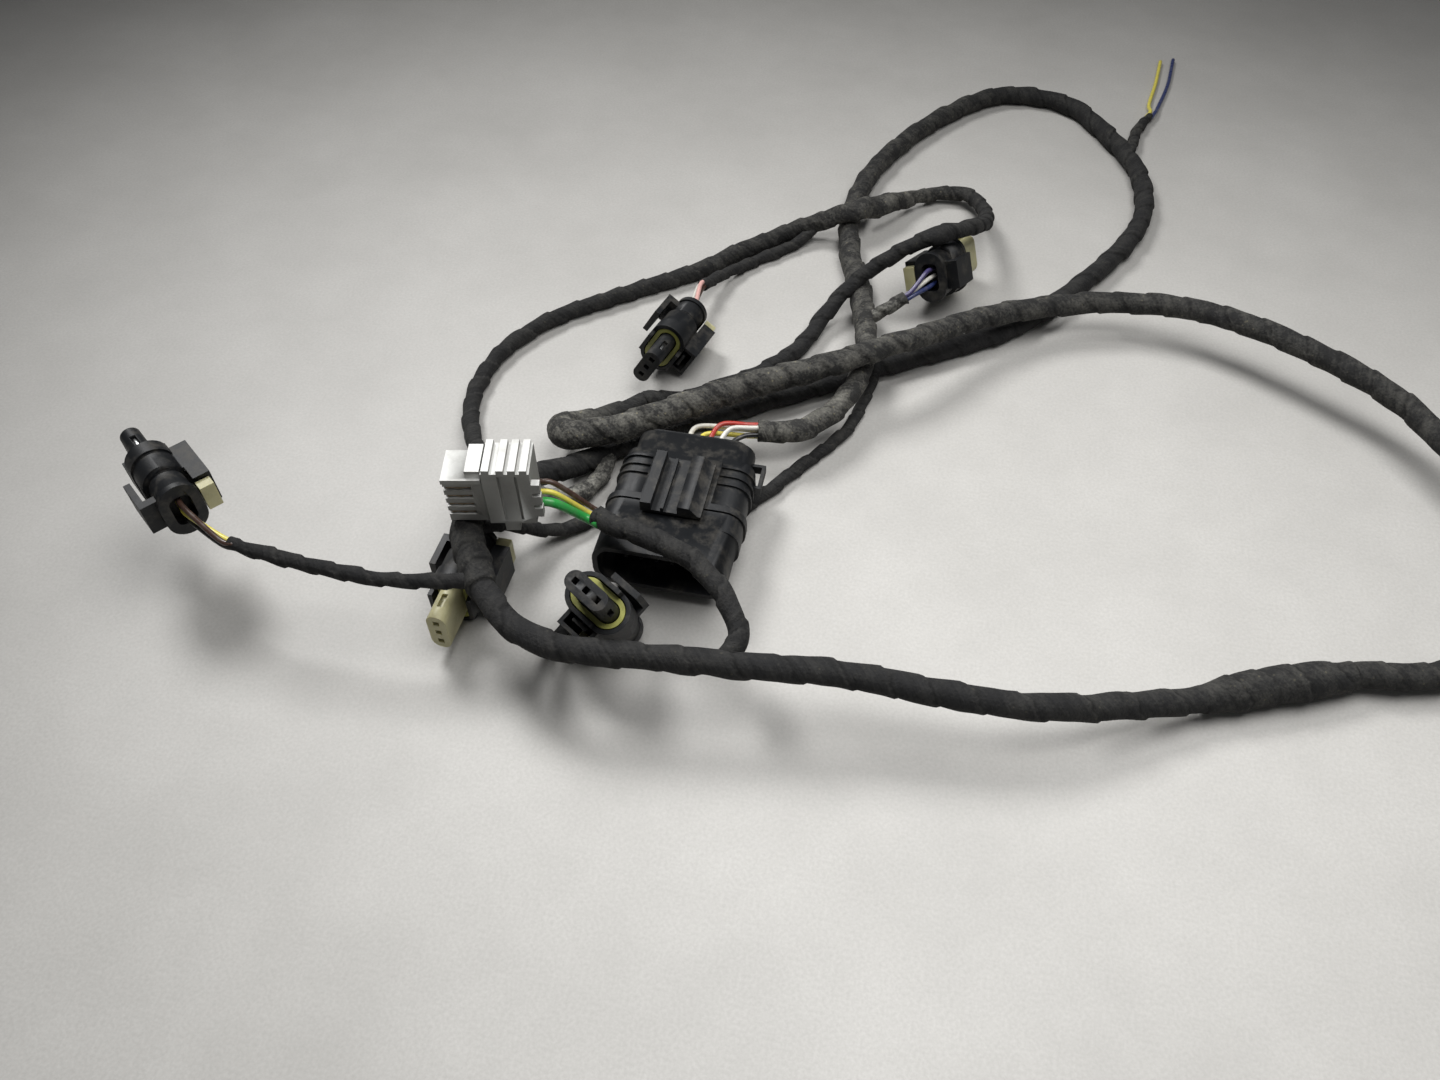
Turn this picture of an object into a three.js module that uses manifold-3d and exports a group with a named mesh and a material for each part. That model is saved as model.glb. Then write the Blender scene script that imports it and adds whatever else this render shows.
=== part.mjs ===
// A vehicle wiring harness as it lies loose on a table: cloth-taped bundles, five three-way sensor
// connectors, one wide flat connector, one pale two-part connector and a cut branch with two wires.
// Millimetres, +Z up. The origin is on the table, under the middle of the whole harness.

import * as THREE from 'three';
import { mergeVertices } from 'three/addons/utils/BufferGeometryUtils.js';
import Module from 'manifold-3d';

const wasm = await Module();
wasm.setup();

// Fits
const CLEARANCE = 0.3;
const SLEEVE_GAP = 0.35;
const MARGIN = 1;

// Bundles and wires
const TRUNK_RADIUS = 3.6;
const THICK_RADIUS = 4.5;
const THICK_POINTS = 14;
const LOOP_RADIUS = 3.7;
const UPPER_RADIUS = 2.9;
const THIN_BRANCH_RADIUS = 2.0;
const SENSOR_D_BRANCH_RADIUS = 2.3;
const WHITE_BRANCH_RADIUS = 3.0;
const DIRTY_BRANCH_RADIUS = 2.7;
const WIRE_RADIUS = 0.8;
const WIRE_SPREAD = 1.15;
const MAIN_WIRE_SPREAD = 1.9;
const TRIO_ANGLES = [210, 90, -30];
const PAIR_ANGLES = [180, 0];
const MAIN_ANGLES = [180, 252, 324, 108, 36];
const WRAP_THICKNESS = 0.8;
const SPLICE_THICKNESS = 1.5;
const TRUNK_SIDES = 8;
const BRANCH_SIDES = 8;

// Sensor connector, along its mating axis from the wire end
const COLLAR_LENGTH = 8;
const COLLAR_WIDTH = 18;
const COLLAR_HEIGHT = 11.5;
const COLLAR_LIP = 1.8;
const COLLAR_STEP = 0.6;
const NECK_LENGTH = 1.5;
const NECK_INSET = 1.3;
const BODY_LENGTH = 8.5;
const BODY_WIDTH = 19;
const BODY_HEIGHT = 12;
const SHROUD_LENGTH = 7.5;
const SHROUD_LAP = 1.5;
const SHROUD_WIDTH = 20.5;
const SHROUD_HEIGHT = 12.6;
const SHROUD_WALL = 1.3;
const SHROUD_END_CUT = 3;
const SHROUD_CAVITY_DEPTH = 5.8;
const SEAL_LENGTH = 2.3;
const INSERT_WIDTH = 14;
const INSERT_HEIGHT = 5.8;
const INSERT_REACH = 9;
const INSERT_ROOT = 4;
const TERMINAL_PITCH = 4;
const TERMINAL_OPENING = 1.8;
const TERMINAL_DEPTH = 4.5;
const TERMINAL_SIZE = 0.7;
const KEY_SLOT_LENGTH = 4.5;
const KEY_SLOT_SETBACK = 3.8;
const KEY_SLOT_WIDTH = 1.6;
const KEY_SLOT_DEPTH = 1.2;
const RECESS_WIDTH = 10;
const RECESS_HEIGHT = 6;
const RECESS_DEPTH = 4.5;
const LATCH_BOX_LENGTH = 16;
const LATCH_BOX_SETBACK = 3.5;
const LATCH_BOX_WIDTH = 11;
const LATCH_BOX_REACH = 4.7;
const LATCH_BOX_WALL = 1.2;
const LATCH_ARM_WIDTH = 5;
const LATCH_ARM_LIFT = 1;
const LATCH_ARM_THICKNESS = 1;
const LATCH_ARM_LENGTH = 10.5;
const LATCH_POST_LENGTH = 2;
const LOCK_WIDTH = 8.4;
const LOCK_LENGTH = 3.4;
const LOCK_HEIGHT = 4.1;
const LOCK_TONGUE_LENGTH = 6.5;
const LOCK_TONGUE_WIDTH = 4;
const GUARD_START = 2.5;
const GUARD_LENGTH = 11.5;
const GUARD_WIDTH = 10;
const GUARD_THICKNESS = 1.9;
const GUARD_GAP = 1.8;
const GUARD_ROOT_LENGTH = 2.5;

// Wide flat connector, along its mating axis from the wire end
const COVER_LENGTH = 32;
const COVER_WIDTH = 40.5;
const COVER_HEIGHT = 14;
const COVER_WALL = 2;
const COVER_REAR_LENGTH = 11;
const COVER_REAR_INSET = 1.7;
const COVER_CHAMFER = 1.4;
const RIB_START = 13.3;
const RIB_PITCH = 3.4;
const RIB_COUNT = 3;
const RIB_THICKNESS = 0.9;
const RIB_HEIGHT = 0.7;
const FLANGE_LENGTH = 2.4;
const FLANGE_HEIGHT = 1.2;
const WIRE_SLOT_HEIGHT = 6.4;
const MAIN_WIRE_PITCH = 3.5;
const MAIN_WIRE_COUNT = 5;
const MAIN_WIRE_OFFSET = 3;
const EAR_START = 5;
const EAR_LENGTH = 10;
const EAR_REACH = 2.4;
const EAR_THICKNESS = 1.1;
const EAR_HEIGHT = 3;
const PAD_WIDTH = 21;
const PAD_HEIGHT = 1.2;
const BAND_LENGTH = 6.7;
const BAND_WIDTH = 41.6;
const BAND_HEIGHT = 15.6;
const FRONT_LENGTH = 13;
const FRONT_WIDTH = 39.6;
const FRONT_HEIGHT = 16;
const FRONT_WALL = 1.6;
const BLOCK_SHOULDER = 1;
const BLOCK_PROUD = 2;
const PIN_COLUMNS = 6;
const PIN_PITCH = 4.6;
const PIN_ROW_OFFSET = 2.2;
const PIN_SIZE = 0.9;
const PIN_LENGTH = 5;
const FACE_SEAL_LENGTH = 1.4;
const FRAME_LENGTH = 21.5;
const FRAME_WIDTH = 18;
const FRAME_BASE = 1;
const FRAME_HEIGHT = 3.8;
const LEFT_RAIL_WIDTH = 3.2;
const RIGHT_RAIL_WIDTH = 7;
const RIGHT_RAIL_SLOPE = 3.4;
const CENTRE_RIB_WIDTH = 0.9;
const CENTRE_RIB_HEIGHT = 2.4;
const CENTRE_RIB_OFFSET = 6;

// Pale connector, along its mating axis from the wire end
const SOCKET_LENGTH = 13;
const SOCKET_DEPTH = 12;
const SOCKET_HEIGHT = 19.5;
const SOCKET_TAB_WIDTH = 2;
const SOCKET_TAB_HEIGHT = 1.3;
const SOCKET_TAB_STARTS = [0.5, 3.6, 6.7, 10.6];
const SOCKET_GROOVES = [3.4, 8];
const SOCKET_GROOVE_WIDTH = 0.7;
const SOCKET_GROOVE_DEPTH = 0.6;
const FUNNEL_COUNT = 3;
const FUNNEL_PITCH = 4.6;
const FUNNEL_START = 5;
const FUNNEL_REACH = 2.2;
const FUNNEL_HEIGHT = 3.4;
const FUNNEL_DEPTH = 2.2;
const PALE_WIRE_HEIGHTS = [5, 6.5, 8];
const PALE_WIRE_SPREAD = 2.1;
const PALE_WIRE_STEP = 2.3;
const GREEN_WIRE_RADIUS = 1.2;
const HANGING_TAB_WIDTH = 4;
const HANGING_TAB_DEPTH = 2.2;
const HANGING_TAB_DROP = 3;
const HANGING_TAB_START = 5;
const PLUG_LENGTH = 10.7;
const PLUG_DEPTH = 10.4;
const PLUG_HEIGHT = 16;
const PLUG_LIFT = 0.4;
const PLUG_SLOT_COUNT = 4;
const PLUG_SLOT_PITCH = 3.2;
const PLUG_SLOT_HEIGHT = 1.5;
const PLUG_SLOT_START = 3;
const PLUG_SLOT_LENGTH = 8;
const PLUG_SLOT_DEPTH = 6;
const PLUG_SHELF = 1;
const PLUG_SHELF_PROUD = 1;
const PLUG_BLOCK_LENGTH = 4;
const PLUG_BLOCK_HEIGHT = 2.4;

// Where each connector lies: the point on its axis at the wire end, then heading, pitch and roll in degrees
const SENSORS = {
  a: { rear: [-175.8, -180.4, 32], heading: 143, pitch: 0, roll: 90, wing: 0, insertColour: 0x1d1e20 },
  b: { rear: [-64.4, -43.7, 10.6], heading: -102, pitch: 5, roll: -120, wing: 0, insertColour: 0x1d1e20 },
  c: { rear: [-55.4, -174.1, 5.2], heading: -100, pitch: 67, roll: 158, wing: 0, insertColour: 0x1d1e20 },
  d: { rear: [17.6, -12.8, 17.4], heading: 66, pitch: -14, roll: -115, wing: -6, insertColour: 0x8c8866 },
  e: { rear: [-100.6, -158.3, 10.3], heading: -91, pitch: 0, roll: -90, wing: 0, insertColour: 0x8c8866 },
};
const MAIN_CONNECTOR = { rear: [-46, -108, 12.4], heading: -90, pitch: 0, roll: 0 };
const PALE_CONNECTOR = { rear: [-80.5, -156.8, 29.6], heading: 192, pitch: 0, roll: 0 };

// Routes of the bundles, each a list of points chosen by hand along the middle of the bundle
const TRUNK_ROUTE = [
  [-70.5, -84, 5], [-74, -87.5, 4.9], [-78, -91.5, 4.9], [-83, -95.5, 5.1], [-87.5, -99.5, 6.4],
  [-90.8, -104, 9], [-90.5, -109.5, 12], [-86, -112.3, 14.2], [-79, -111, 14.8], [-72, -107, 14.7],
  [-62, -99.3, 14.6], [-50, -90, 14.8], [-33, -79.5, 16.5], [-13, -70.5, 19.5], [1, -61.5, 20.8],
  [17, -48, 19], [37, -28, 14.5], [59, -14, 12.2], [85, -7, 13], [112, -10, 16],
  [142, -26, 19], [171, -47, 18], [190, -74, 14], [200, -99, 8], [193, -127, 4.8],
  [172, -144, 5.3], [147, -150, 5.6], [123, -159, 5.7], [106, -167, 6.4], [92, -173, 8.8],
  [64, -184, 15], [38, -188, 19], [12, -189, 21.5], [-16, -193, 23], [-41, -196, 23.8],
  [-63, -198, 24.3], [-77, -194, 24.6], [-89, -183.8, 24.6], [-94, -176, 24.6],
];
const LOOP_ROUTE_AFTER_SEAM = [
  [-98.5, -168.5, 24.6], [-101.5, -160, 24.6], [-101, -151, 24], [-97, -141, 21.6], [-91, -131, 14],
  [-84, -119, 7.2], [-76, -108, 4.2], [-65, -97, 3.8], [-50, -87, 3.8], [-32, -74, 3.8],
  [-14, -62, 3.8], [5, -48, 3.8], [25, -35, 3.8], [45, -21, 3.8], [62, -3, 3.8],
  [75, 16, 3.8], [90, 42, 3.8], [98, 68, 3.8], [96, 96, 3.8], [85, 121, 3.8],
  [68, 144, 3.8], [45, 149, 3.8], [26, 139, 3.8], [4, 110, 3.8], [-12, 74, 3.8],
  [-17, 42, 3.8], [-14, 16, 3.8], [-8, -5, 4.6], [-3, -30, 8.4], [0, -51, 11.8],
  [-2, -70, 11.8], [-8, -84, 11.5], [-17, -94, 12], [-29, -97, 12.5],
];
const UPPER_ROUTE_AFTER_FOLD = [
  [-60, -78.5, 3], [-55, -76, 3], [-45, -67.5, 3], [-36, -60, 3], [-24, -43, 3],
  [-17, -24, 5.5], [-8, -11, 11.8], [4, -5.5, 20.5], [15, -3.5, 27.5], [22, 1, 27.8],
  [30, 12, 24], [35, 30, 14.5], [34.5, 49, 8], [26, 63, 4.8], [11, 60, 4], [-3, 45, 7.4], [-17, 31, 10.9],
  [-30, 27, 7], [-39, 24, 3.8], [-56, 8, 3], [-68, -6, 3], [-91, -25, 3],
  [-113, -44, 3], [-126, -65, 3], [-129, -85, 3], [-126, -101, 3.6], [-119, -115, 7],
  [-112, -127, 12], [-109, -137, 16.5], [-106, -144, 20.5], [-100.8, -150, 23.9],
];
const SENSOR_A_BRANCH_ROUTE = [
  [-90, -181.5, 24.6], [-95.5, -183.2, 24.8], [-104, -186, 26], [-114, -188.4, 27], [-124, -189.2, 28],
  [-135, -189.2, 29], [-148, -188.8, 29.8], [-159, -187.6, 30.3],
];
const SENSOR_B_BRANCH_ROUTE = [
  [-29, 27.3, 7.2], [-32, 22.5, 4], [-38, 16, 2.4], [-45, 9, 2.1], [-51.5, 2, 2.3],
  [-57, -6, 3.6], [-61, -14.5, 6], [-63.5, -22.5, 8.6],
];
const SENSOR_C_BRANCH_ROUTE = [
  [-72, -196.3, 24.5], [-71.5, -193.5, 17], [-71, -189.5, 9], [-70.5, -183.5, 3.6],
  [-69, -176, 2.4], [-64, -169, 2.4],
];
const SENSOR_D_BRANCH_ROUTE = [
  [-3.5, -27, 7.9], [0, -28, 9.5], [5, -26, 12.5], [10, -22.5, 15],
];
const SENSOR_E_BRANCH_ROUTE = [
  [-101, -157, 24.4], [-100.3, -151.5, 21.5], [-100.3, -148.6, 17], [-101.1, -148.6, 12.8],
  [-100.8, -151.8, 10.5],
];
const LOWER_BRANCH_ROUTE = [
  [3, -50, 3.8], [3, -58, 2.3], [-2, -80, 2.1], [-15, -101, 2.1], [-27, -119, 2.1],
  [-40, -131, 2.1], [-56, -134, 2.1], [-70, -134, 2.1], [-80, -142, 3.6], [-86, -148, 8],
  [-90.5, -152.5, 14], [-94.5, -157.5, 19.5], [-99.3, -166.5, 24.6],
];
const DIRTY_BRANCH_ROUTE = [
  [-76, -108, 4.2], [-75.5, -117, 3.4], [-79, -127, 4.5], [-85, -135, 9], [-91, -140, 15.5],
  [-95.5, -143, 20], [-99.5, -147, 23.2],
];
const PALE_BRANCH_ROUTE = [
  [-65, -154, 26], [-58, -158, 28], [-48, -161, 29], [-35, -166, 29], [-25, -174, 28],
  [-19, -182, 26], [-18, -188, 24.5], [-21, -193.5, 22.8],
];
const CUT_BRANCH_ROUTE = [
  [92, 106, 3.8], [94, 114, 3], [97, 131, 2.1], [103, 146, 2.1],
];

// Shape helpers

class Route extends THREE.CatmullRomCurve3 {
  constructor(points) {
    super(points.map((point) => new THREE.Vector3(...point)), false, 'catmullrom', 0.5);
  }

  // The steps of a sweep follow the listed points, so they are close together where the points are.
  getPointAt(u, target) {
    return this.getPoint(u, target);
  }

  getTangentAt(u, target) {
    return this.getTangent(u, target);
  }
}

function signedVolume(position, index) {
  const [a, b, c] = [new THREE.Vector3(), new THREE.Vector3(), new THREE.Vector3()];
  let volume = 0;
  for (let i = 0; i < index.length; i += 3) {
    a.fromBufferAttribute(position, index[i]);
    b.fromBufferAttribute(position, index[i + 1]);
    c.fromBufferAttribute(position, index[i + 2]);
    volume += a.dot(b.cross(c)) / 6;
  }
  return volume;
}

function solid(geometry) {
  const bare = new THREE.BufferGeometry();
  bare.setAttribute('position', geometry.getAttribute('position'));
  bare.setIndex(geometry.getIndex());
  const merged = mergeVertices(bare, 1e-4);
  const source = merged.getIndex().array;
  const position = merged.getAttribute('position');
  const corners = [];
  for (let i = 0; i < source.length; i += 3) {
    const [a, b, c] = [source[i], source[i + 1], source[i + 2]];
    if (a !== b && b !== c && c !== a) corners.push(a, b, c);
  }
  if (signedVolume(position, corners) < 0) corners.reverse();
  return new wasm.Manifold(new wasm.Mesh({
    numProp: 3,
    vertProperties: new Float32Array(position.array),
    triVerts: new Uint32Array(corners),
  }));
}

function union(...pieces) {
  return pieces.reduce((whole, piece) => whole.add(piece));
}

function cut(piece, ...tools) {
  return tools.reduce((rest, tool) => rest.subtract(tool), piece);
}

// A rounded bar along +X: width across Y, height across Z, centred on the X axis.
function bar(width, height, radius, start, end, arcSteps = 3) {
  const r = Math.min(radius, width / 2, height / 2);
  const [x, y] = [width / 2 - r, height / 2 - r];
  const outline = new THREE.Shape();
  outline.absarc(x, -y, r, -Math.PI / 2, 0, false);
  outline.absarc(x, y, r, 0, Math.PI / 2, false);
  outline.absarc(-x, y, r, Math.PI / 2, Math.PI, false);
  outline.absarc(-x, -y, r, Math.PI, 1.5 * Math.PI, false);
  const geometry = new THREE.ExtrudeGeometry(outline, {
    depth: end - start, bevelEnabled: false, curveSegments: arcSteps,
  });
  const turn = new THREE.Matrix4().makeBasis(
    new THREE.Vector3(0, 1, 0), new THREE.Vector3(0, 0, 1), new THREE.Vector3(1, 0, 0),
  );
  geometry.applyMatrix4(turn);
  geometry.translate(start, 0, 0);
  return solid(geometry);
}

function oval(width, height, start, end) {
  return bar(width, height, height / 2, start, end, 4);
}

function block([x0, x1], [y0, y1], [z0, z1]) {
  const geometry = new THREE.BoxGeometry(x1 - x0, y1 - y0, z1 - z0);
  geometry.translate((x0 + x1) / 2, (y0 + y1) / 2, (z0 + z1) / 2);
  return solid(geometry);
}

// A prism with the given outline in the Y-Z plane, along +X.
function prism(outline, start, end) {
  const shape = new THREE.Shape(outline.map(([y, z]) => new THREE.Vector2(y, z)));
  const geometry = new THREE.ExtrudeGeometry(shape, { depth: end - start, bevelEnabled: false });
  const turn = new THREE.Matrix4().makeBasis(
    new THREE.Vector3(0, 1, 0), new THREE.Vector3(0, 0, 1), new THREE.Vector3(1, 0, 0),
  );
  geometry.applyMatrix4(turn);
  geometry.translate(start, 0, 0);
  return solid(geometry);
}

function tube(points, radius, sides = BRANCH_SIDES, stepsPerPoint = 2) {
  const corners = [];
  for (let i = 0; i < sides; i += 1) {
    const angle = (2 * Math.PI * i) / sides;
    corners.push(new THREE.Vector2(radius * Math.cos(angle), radius * Math.sin(angle)));
  }
  return solid(new THREE.ExtrudeGeometry(new THREE.Shape(corners), {
    steps: (points.length - 1) * stepsPerPoint,
    extrudePath: new Route(points),
  }));
}

function piece(name, shape, colour, roughness = 0.7) {
  const { vertProperties, triVerts } = shape.getMesh();
  const geometry = new THREE.BufferGeometry();
  geometry.setAttribute('position', new THREE.BufferAttribute(new Float32Array(vertProperties), 3));
  geometry.setIndex(new THREE.BufferAttribute(new Uint32Array(triVerts), 1));
  geometry.computeVertexNormals();
  const material = new THREE.MeshStandardMaterial({
    color: colour, roughness, metalness: 0, flatShading: true,
  });
  const mesh = new THREE.Mesh(geometry, material);
  mesh.name = name;
  return mesh;
}

function place(group, { rear, heading, pitch, roll }) {
  group.position.set(...rear);
  group.rotation.set(
    THREE.MathUtils.degToRad(roll),
    THREE.MathUtils.degToRad(-pitch),
    THREE.MathUtils.degToRad(heading),
    'ZYX',
  );
  group.updateMatrixWorld(true);
  return group;
}

// A point given in a connector's own frame, in the frame of the whole harness.
function pointOn(connector, x, y, z) {
  const frame = place(new THREE.Group(), connector);
  return new THREE.Vector3(x, y, z).applyMatrix4(frame.matrixWorld).toArray();
}

function along(from, towards, distance) {
  const start = new THREE.Vector3(...from);
  const direction = new THREE.Vector3(...towards).sub(start).normalize();
  return start.addScaledVector(direction, distance).toArray();
}

function beyondEnd(route, distance) {
  return along(route.at(-1), route.at(-2), -distance);
}

// The offsets of a bundle's wires from its middle, in order along a row direction.
function wireOffsets(route, row, angles, spread) {
  const [before, end] = route.slice(-2).map((point) => new THREE.Vector3(...point));
  const forward = end.sub(before).normalize();
  const across = new THREE.Vector3(...row);
  across.addScaledVector(forward, -across.dot(forward)).normalize();
  const normal = forward.clone().cross(across);
  return angles.map((degrees) => {
    const angle = THREE.MathUtils.degToRad(degrees);
    return across.clone()
      .multiplyScalar(spread * Math.cos(angle))
      .addScaledVector(normal, spread * Math.sin(angle))
      .toArray();
  });
}

function shifted([x, y, z], [dx, dy, dz]) {
  return [x + dx, y + dy, z + dz];
}

function between(from, to, share) {
  return from.map((value, i) => value + (to[i] - value) * share);
}

// Sensor connector: stations along its axis from the wire end

const bodyStart = COLLAR_LENGTH + NECK_LENGTH;
const bodyEnd = bodyStart + BODY_LENGTH;
const shroudStart = bodyEnd - SHROUD_LAP;
const rim = shroudStart + SHROUD_LENGTH;
const cavityFloor = rim - SHROUD_CAVITY_DEPTH;
const insertTip = rim + INSERT_REACH;
const latchBoxEnd = LATCH_BOX_SETBACK + LATCH_BOX_LENGTH;
const latchBoxTop = SHROUD_HEIGHT / 2 + LATCH_BOX_REACH;
const latchBoxCeiling = latchBoxTop - LATCH_BOX_WALL;
const latchArmTop = BODY_HEIGHT / 2 + LATCH_ARM_LIFT + LATCH_ARM_THICKNESS;
const collarClearance = 2 * (CLEARANCE + 0.5);

// The shroud has a wing on each flat side; on one connector a wing is shorter by the given length.
function sensorHousing(wing) {
  const latchBox = cut(
    block([LATCH_BOX_SETBACK, latchBoxEnd], [-LATCH_BOX_WIDTH / 2, LATCH_BOX_WIDTH / 2], [0, latchBoxTop]),
    block(
      [LATCH_BOX_SETBACK - MARGIN, latchBoxEnd + MARGIN],
      [-LATCH_BOX_WIDTH / 2 + LATCH_BOX_WALL, LATCH_BOX_WIDTH / 2 - LATCH_BOX_WALL],
      [-MARGIN, latchBoxCeiling],
    ),
    oval(COLLAR_WIDTH + collarClearance, COLLAR_HEIGHT + collarClearance, -MARGIN, bodyStart),
  );
  const armStart = bodyStart;
  const latchArm = union(
    block(
      [armStart, armStart + LATCH_ARM_LENGTH],
      [-LATCH_ARM_WIDTH / 2, LATCH_ARM_WIDTH / 2],
      [latchArmTop - LATCH_ARM_THICKNESS, latchArmTop],
    ),
    block(
      [armStart, armStart + LATCH_POST_LENGTH],
      [-LATCH_ARM_WIDTH / 2, LATCH_ARM_WIDTH / 2],
      [0, latchArmTop - LATCH_ARM_THICKNESS / 2],
    ),
  );
  const guardTop = -BODY_HEIGHT / 2 - GUARD_GAP;
  const guardWidth = [-GUARD_WIDTH / 2, GUARD_WIDTH / 2];
  const guard = union(
    block([GUARD_START, GUARD_START + GUARD_LENGTH], guardWidth, [guardTop - GUARD_THICKNESS, guardTop]),
    block([GUARD_START, GUARD_START + GUARD_ROOT_LENGTH], guardWidth, [guardTop - GUARD_THICKNESS, 0]),
  );
  const outside = union(
    oval(BODY_WIDTH, BODY_HEIGHT, bodyStart, bodyEnd),
    oval(SHROUD_WIDTH, SHROUD_HEIGHT, shroudStart, rim),
    latchBox,
    oval(COLLAR_WIDTH - 2 * NECK_INSET, COLLAR_HEIGHT - 2 * NECK_INSET, COLLAR_LENGTH / 2, bodyStart + MARGIN),
    oval(COLLAR_WIDTH - 2 * COLLAR_STEP, COLLAR_HEIGHT - 2 * COLLAR_STEP, 0, COLLAR_LENGTH),
    oval(COLLAR_WIDTH, COLLAR_HEIGHT, 0, COLLAR_LIP),
    latchArm,
    guard,
  );
  const shroudInside = [SHROUD_WIDTH - 2 * SHROUD_WALL, SHROUD_HEIGHT - 2 * SHROUD_WALL];
  const endCuts = [-1, 1].map((side) => {
    const reach = [side * (SHROUD_WIDTH / 2 + MARGIN), side * (SHROUD_WIDTH - SHROUD_HEIGHT) / 2];
    const height = SHROUD_HEIGHT / 2 + MARGIN;
    return block([rim - SHROUD_END_CUT, rim + MARGIN], reach.sort((p, q) => p - q), [-height, height]);
  });
  const wingCut = block(
    [rim + wing, rim + MARGIN],
    [-SHROUD_WIDTH / 2 - MARGIN, SHROUD_WIDTH / 2 + MARGIN],
    [-SHROUD_HEIGHT / 2 - MARGIN, 0],
  );
  return cut(
    outside,
    ...(wing ? [wingCut] : []),
    oval(...shroudInside, cavityFloor, rim + MARGIN),
    oval(INSERT_WIDTH + 2 * CLEARANCE, INSERT_HEIGHT + 2 * CLEARANCE, cavityFloor - INSERT_ROOT, rim + MARGIN),
    bar(RECESS_WIDTH, RECESS_HEIGHT, 2, -MARGIN, RECESS_DEPTH, 3),
    ...endCuts,
  );
}

function sensorSeal() {
  const outer = [
    SHROUD_WIDTH - 2 * SHROUD_WALL - 2 * CLEARANCE,
    SHROUD_HEIGHT - 2 * SHROUD_WALL - 2 * CLEARANCE,
  ];
  const inner = [INSERT_WIDTH + 2 * CLEARANCE, INSERT_HEIGHT + 2 * CLEARANCE];
  const start = cavityFloor + CLEARANCE;
  return cut(
    oval(...outer, start, start + SEAL_LENGTH),
    oval(...inner, start - MARGIN, start + SEAL_LENGTH + MARGIN),
  );
}

function sensorInsert() {
  const body = oval(INSERT_WIDTH, INSERT_HEIGHT, cavityFloor - INSERT_ROOT + CLEARANCE, insertTip);
  const half = TERMINAL_OPENING / 2;
  const openings = [-1, 0, 1].map((column) => {
    const y = column * TERMINAL_PITCH;
    return block([insertTip - TERMINAL_DEPTH, insertTip + MARGIN], [y - half, y + half], [-half, half]);
  });
  const terminals = [-1, 0, 1].map((column) => {
    const y = column * TERMINAL_PITCH;
    const reach = [insertTip - TERMINAL_DEPTH - MARGIN, insertTip - TERMINAL_DEPTH / 4];
    return block(reach, [y - TERMINAL_SIZE / 2, y + TERMINAL_SIZE / 2], [-half - MARGIN / 2, -half + TERMINAL_SIZE]);
  });
  const keySlots = [-1, 1].map((side) => {
    const reach = [side * (INSERT_WIDTH / 2 - KEY_SLOT_DEPTH), side * (INSERT_WIDTH / 2 + MARGIN)];
    const slotEnd = insertTip - KEY_SLOT_SETBACK;
    return block(
      [slotEnd - KEY_SLOT_LENGTH, slotEnd],
      reach.sort((p, q) => p - q),
      [-KEY_SLOT_WIDTH / 2, KEY_SLOT_WIDTH / 2],
    );
  });
  return union(cut(body, ...openings, ...keySlots), ...terminals);
}

function sensorLock() {
  const bottom = COLLAR_HEIGHT / 2 + CLEARANCE;
  const tongue = [latchArmTop + CLEARANCE, latchBoxCeiling - CLEARANCE];
  const handleEnd = LATCH_BOX_SETBACK - CLEARANCE;
  return union(
    block([handleEnd - LOCK_LENGTH, handleEnd], [-LOCK_WIDTH / 2, LOCK_WIDTH / 2], [bottom, bottom + LOCK_HEIGHT]),
    block(
      [handleEnd - MARGIN, handleEnd + LOCK_TONGUE_LENGTH],
      [-LOCK_TONGUE_WIDTH / 2, LOCK_TONGUE_WIDTH / 2],
      tongue,
    ),
  );
}

function sensorConnector(letter, sensor) {
  const group = place(new THREE.Group(), sensor);
  group.add(
    piece(`sensor_${letter}_housing`, sensorHousing(sensor.wing), 0x1d1e20, 0.6),
    piece(`sensor_${letter}_seal`, sensorSeal(), 0x9a9a4a, 0.5),
    piece(`sensor_${letter}_insert`, sensorInsert(), sensor.insertColour, 0.6),
    piece(`sensor_${letter}_lock`, sensorLock(), 0xb9b48c, 0.5),
  );
  return group;
}

// Wide flat connector: stations along its axis from the wire end

const bandStart = COVER_LENGTH + CLEARANCE;
const frontStart = bandStart + BAND_LENGTH;
const frontEnd = frontStart + FRONT_LENGTH;
const padTop = COVER_HEIGHT / 2 + PAD_HEIGHT;
const blockWidth = FRONT_WIDTH - 2 * FRONT_WALL - 2 * BLOCK_SHOULDER - 2 * CLEARANCE;
const blockHeight = FRONT_HEIGHT - 2 * FRONT_WALL - 2 * BLOCK_SHOULDER - 2 * CLEARANCE;
const blockFront = frontStart + BLOCK_PROUD;
const wireColumns = Array.from({ length: MAIN_WIRE_COUNT }, (_, i) => (
  MAIN_WIRE_OFFSET + (i - (MAIN_WIRE_COUNT - 1) / 2) * -MAIN_WIRE_PITCH
));

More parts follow.
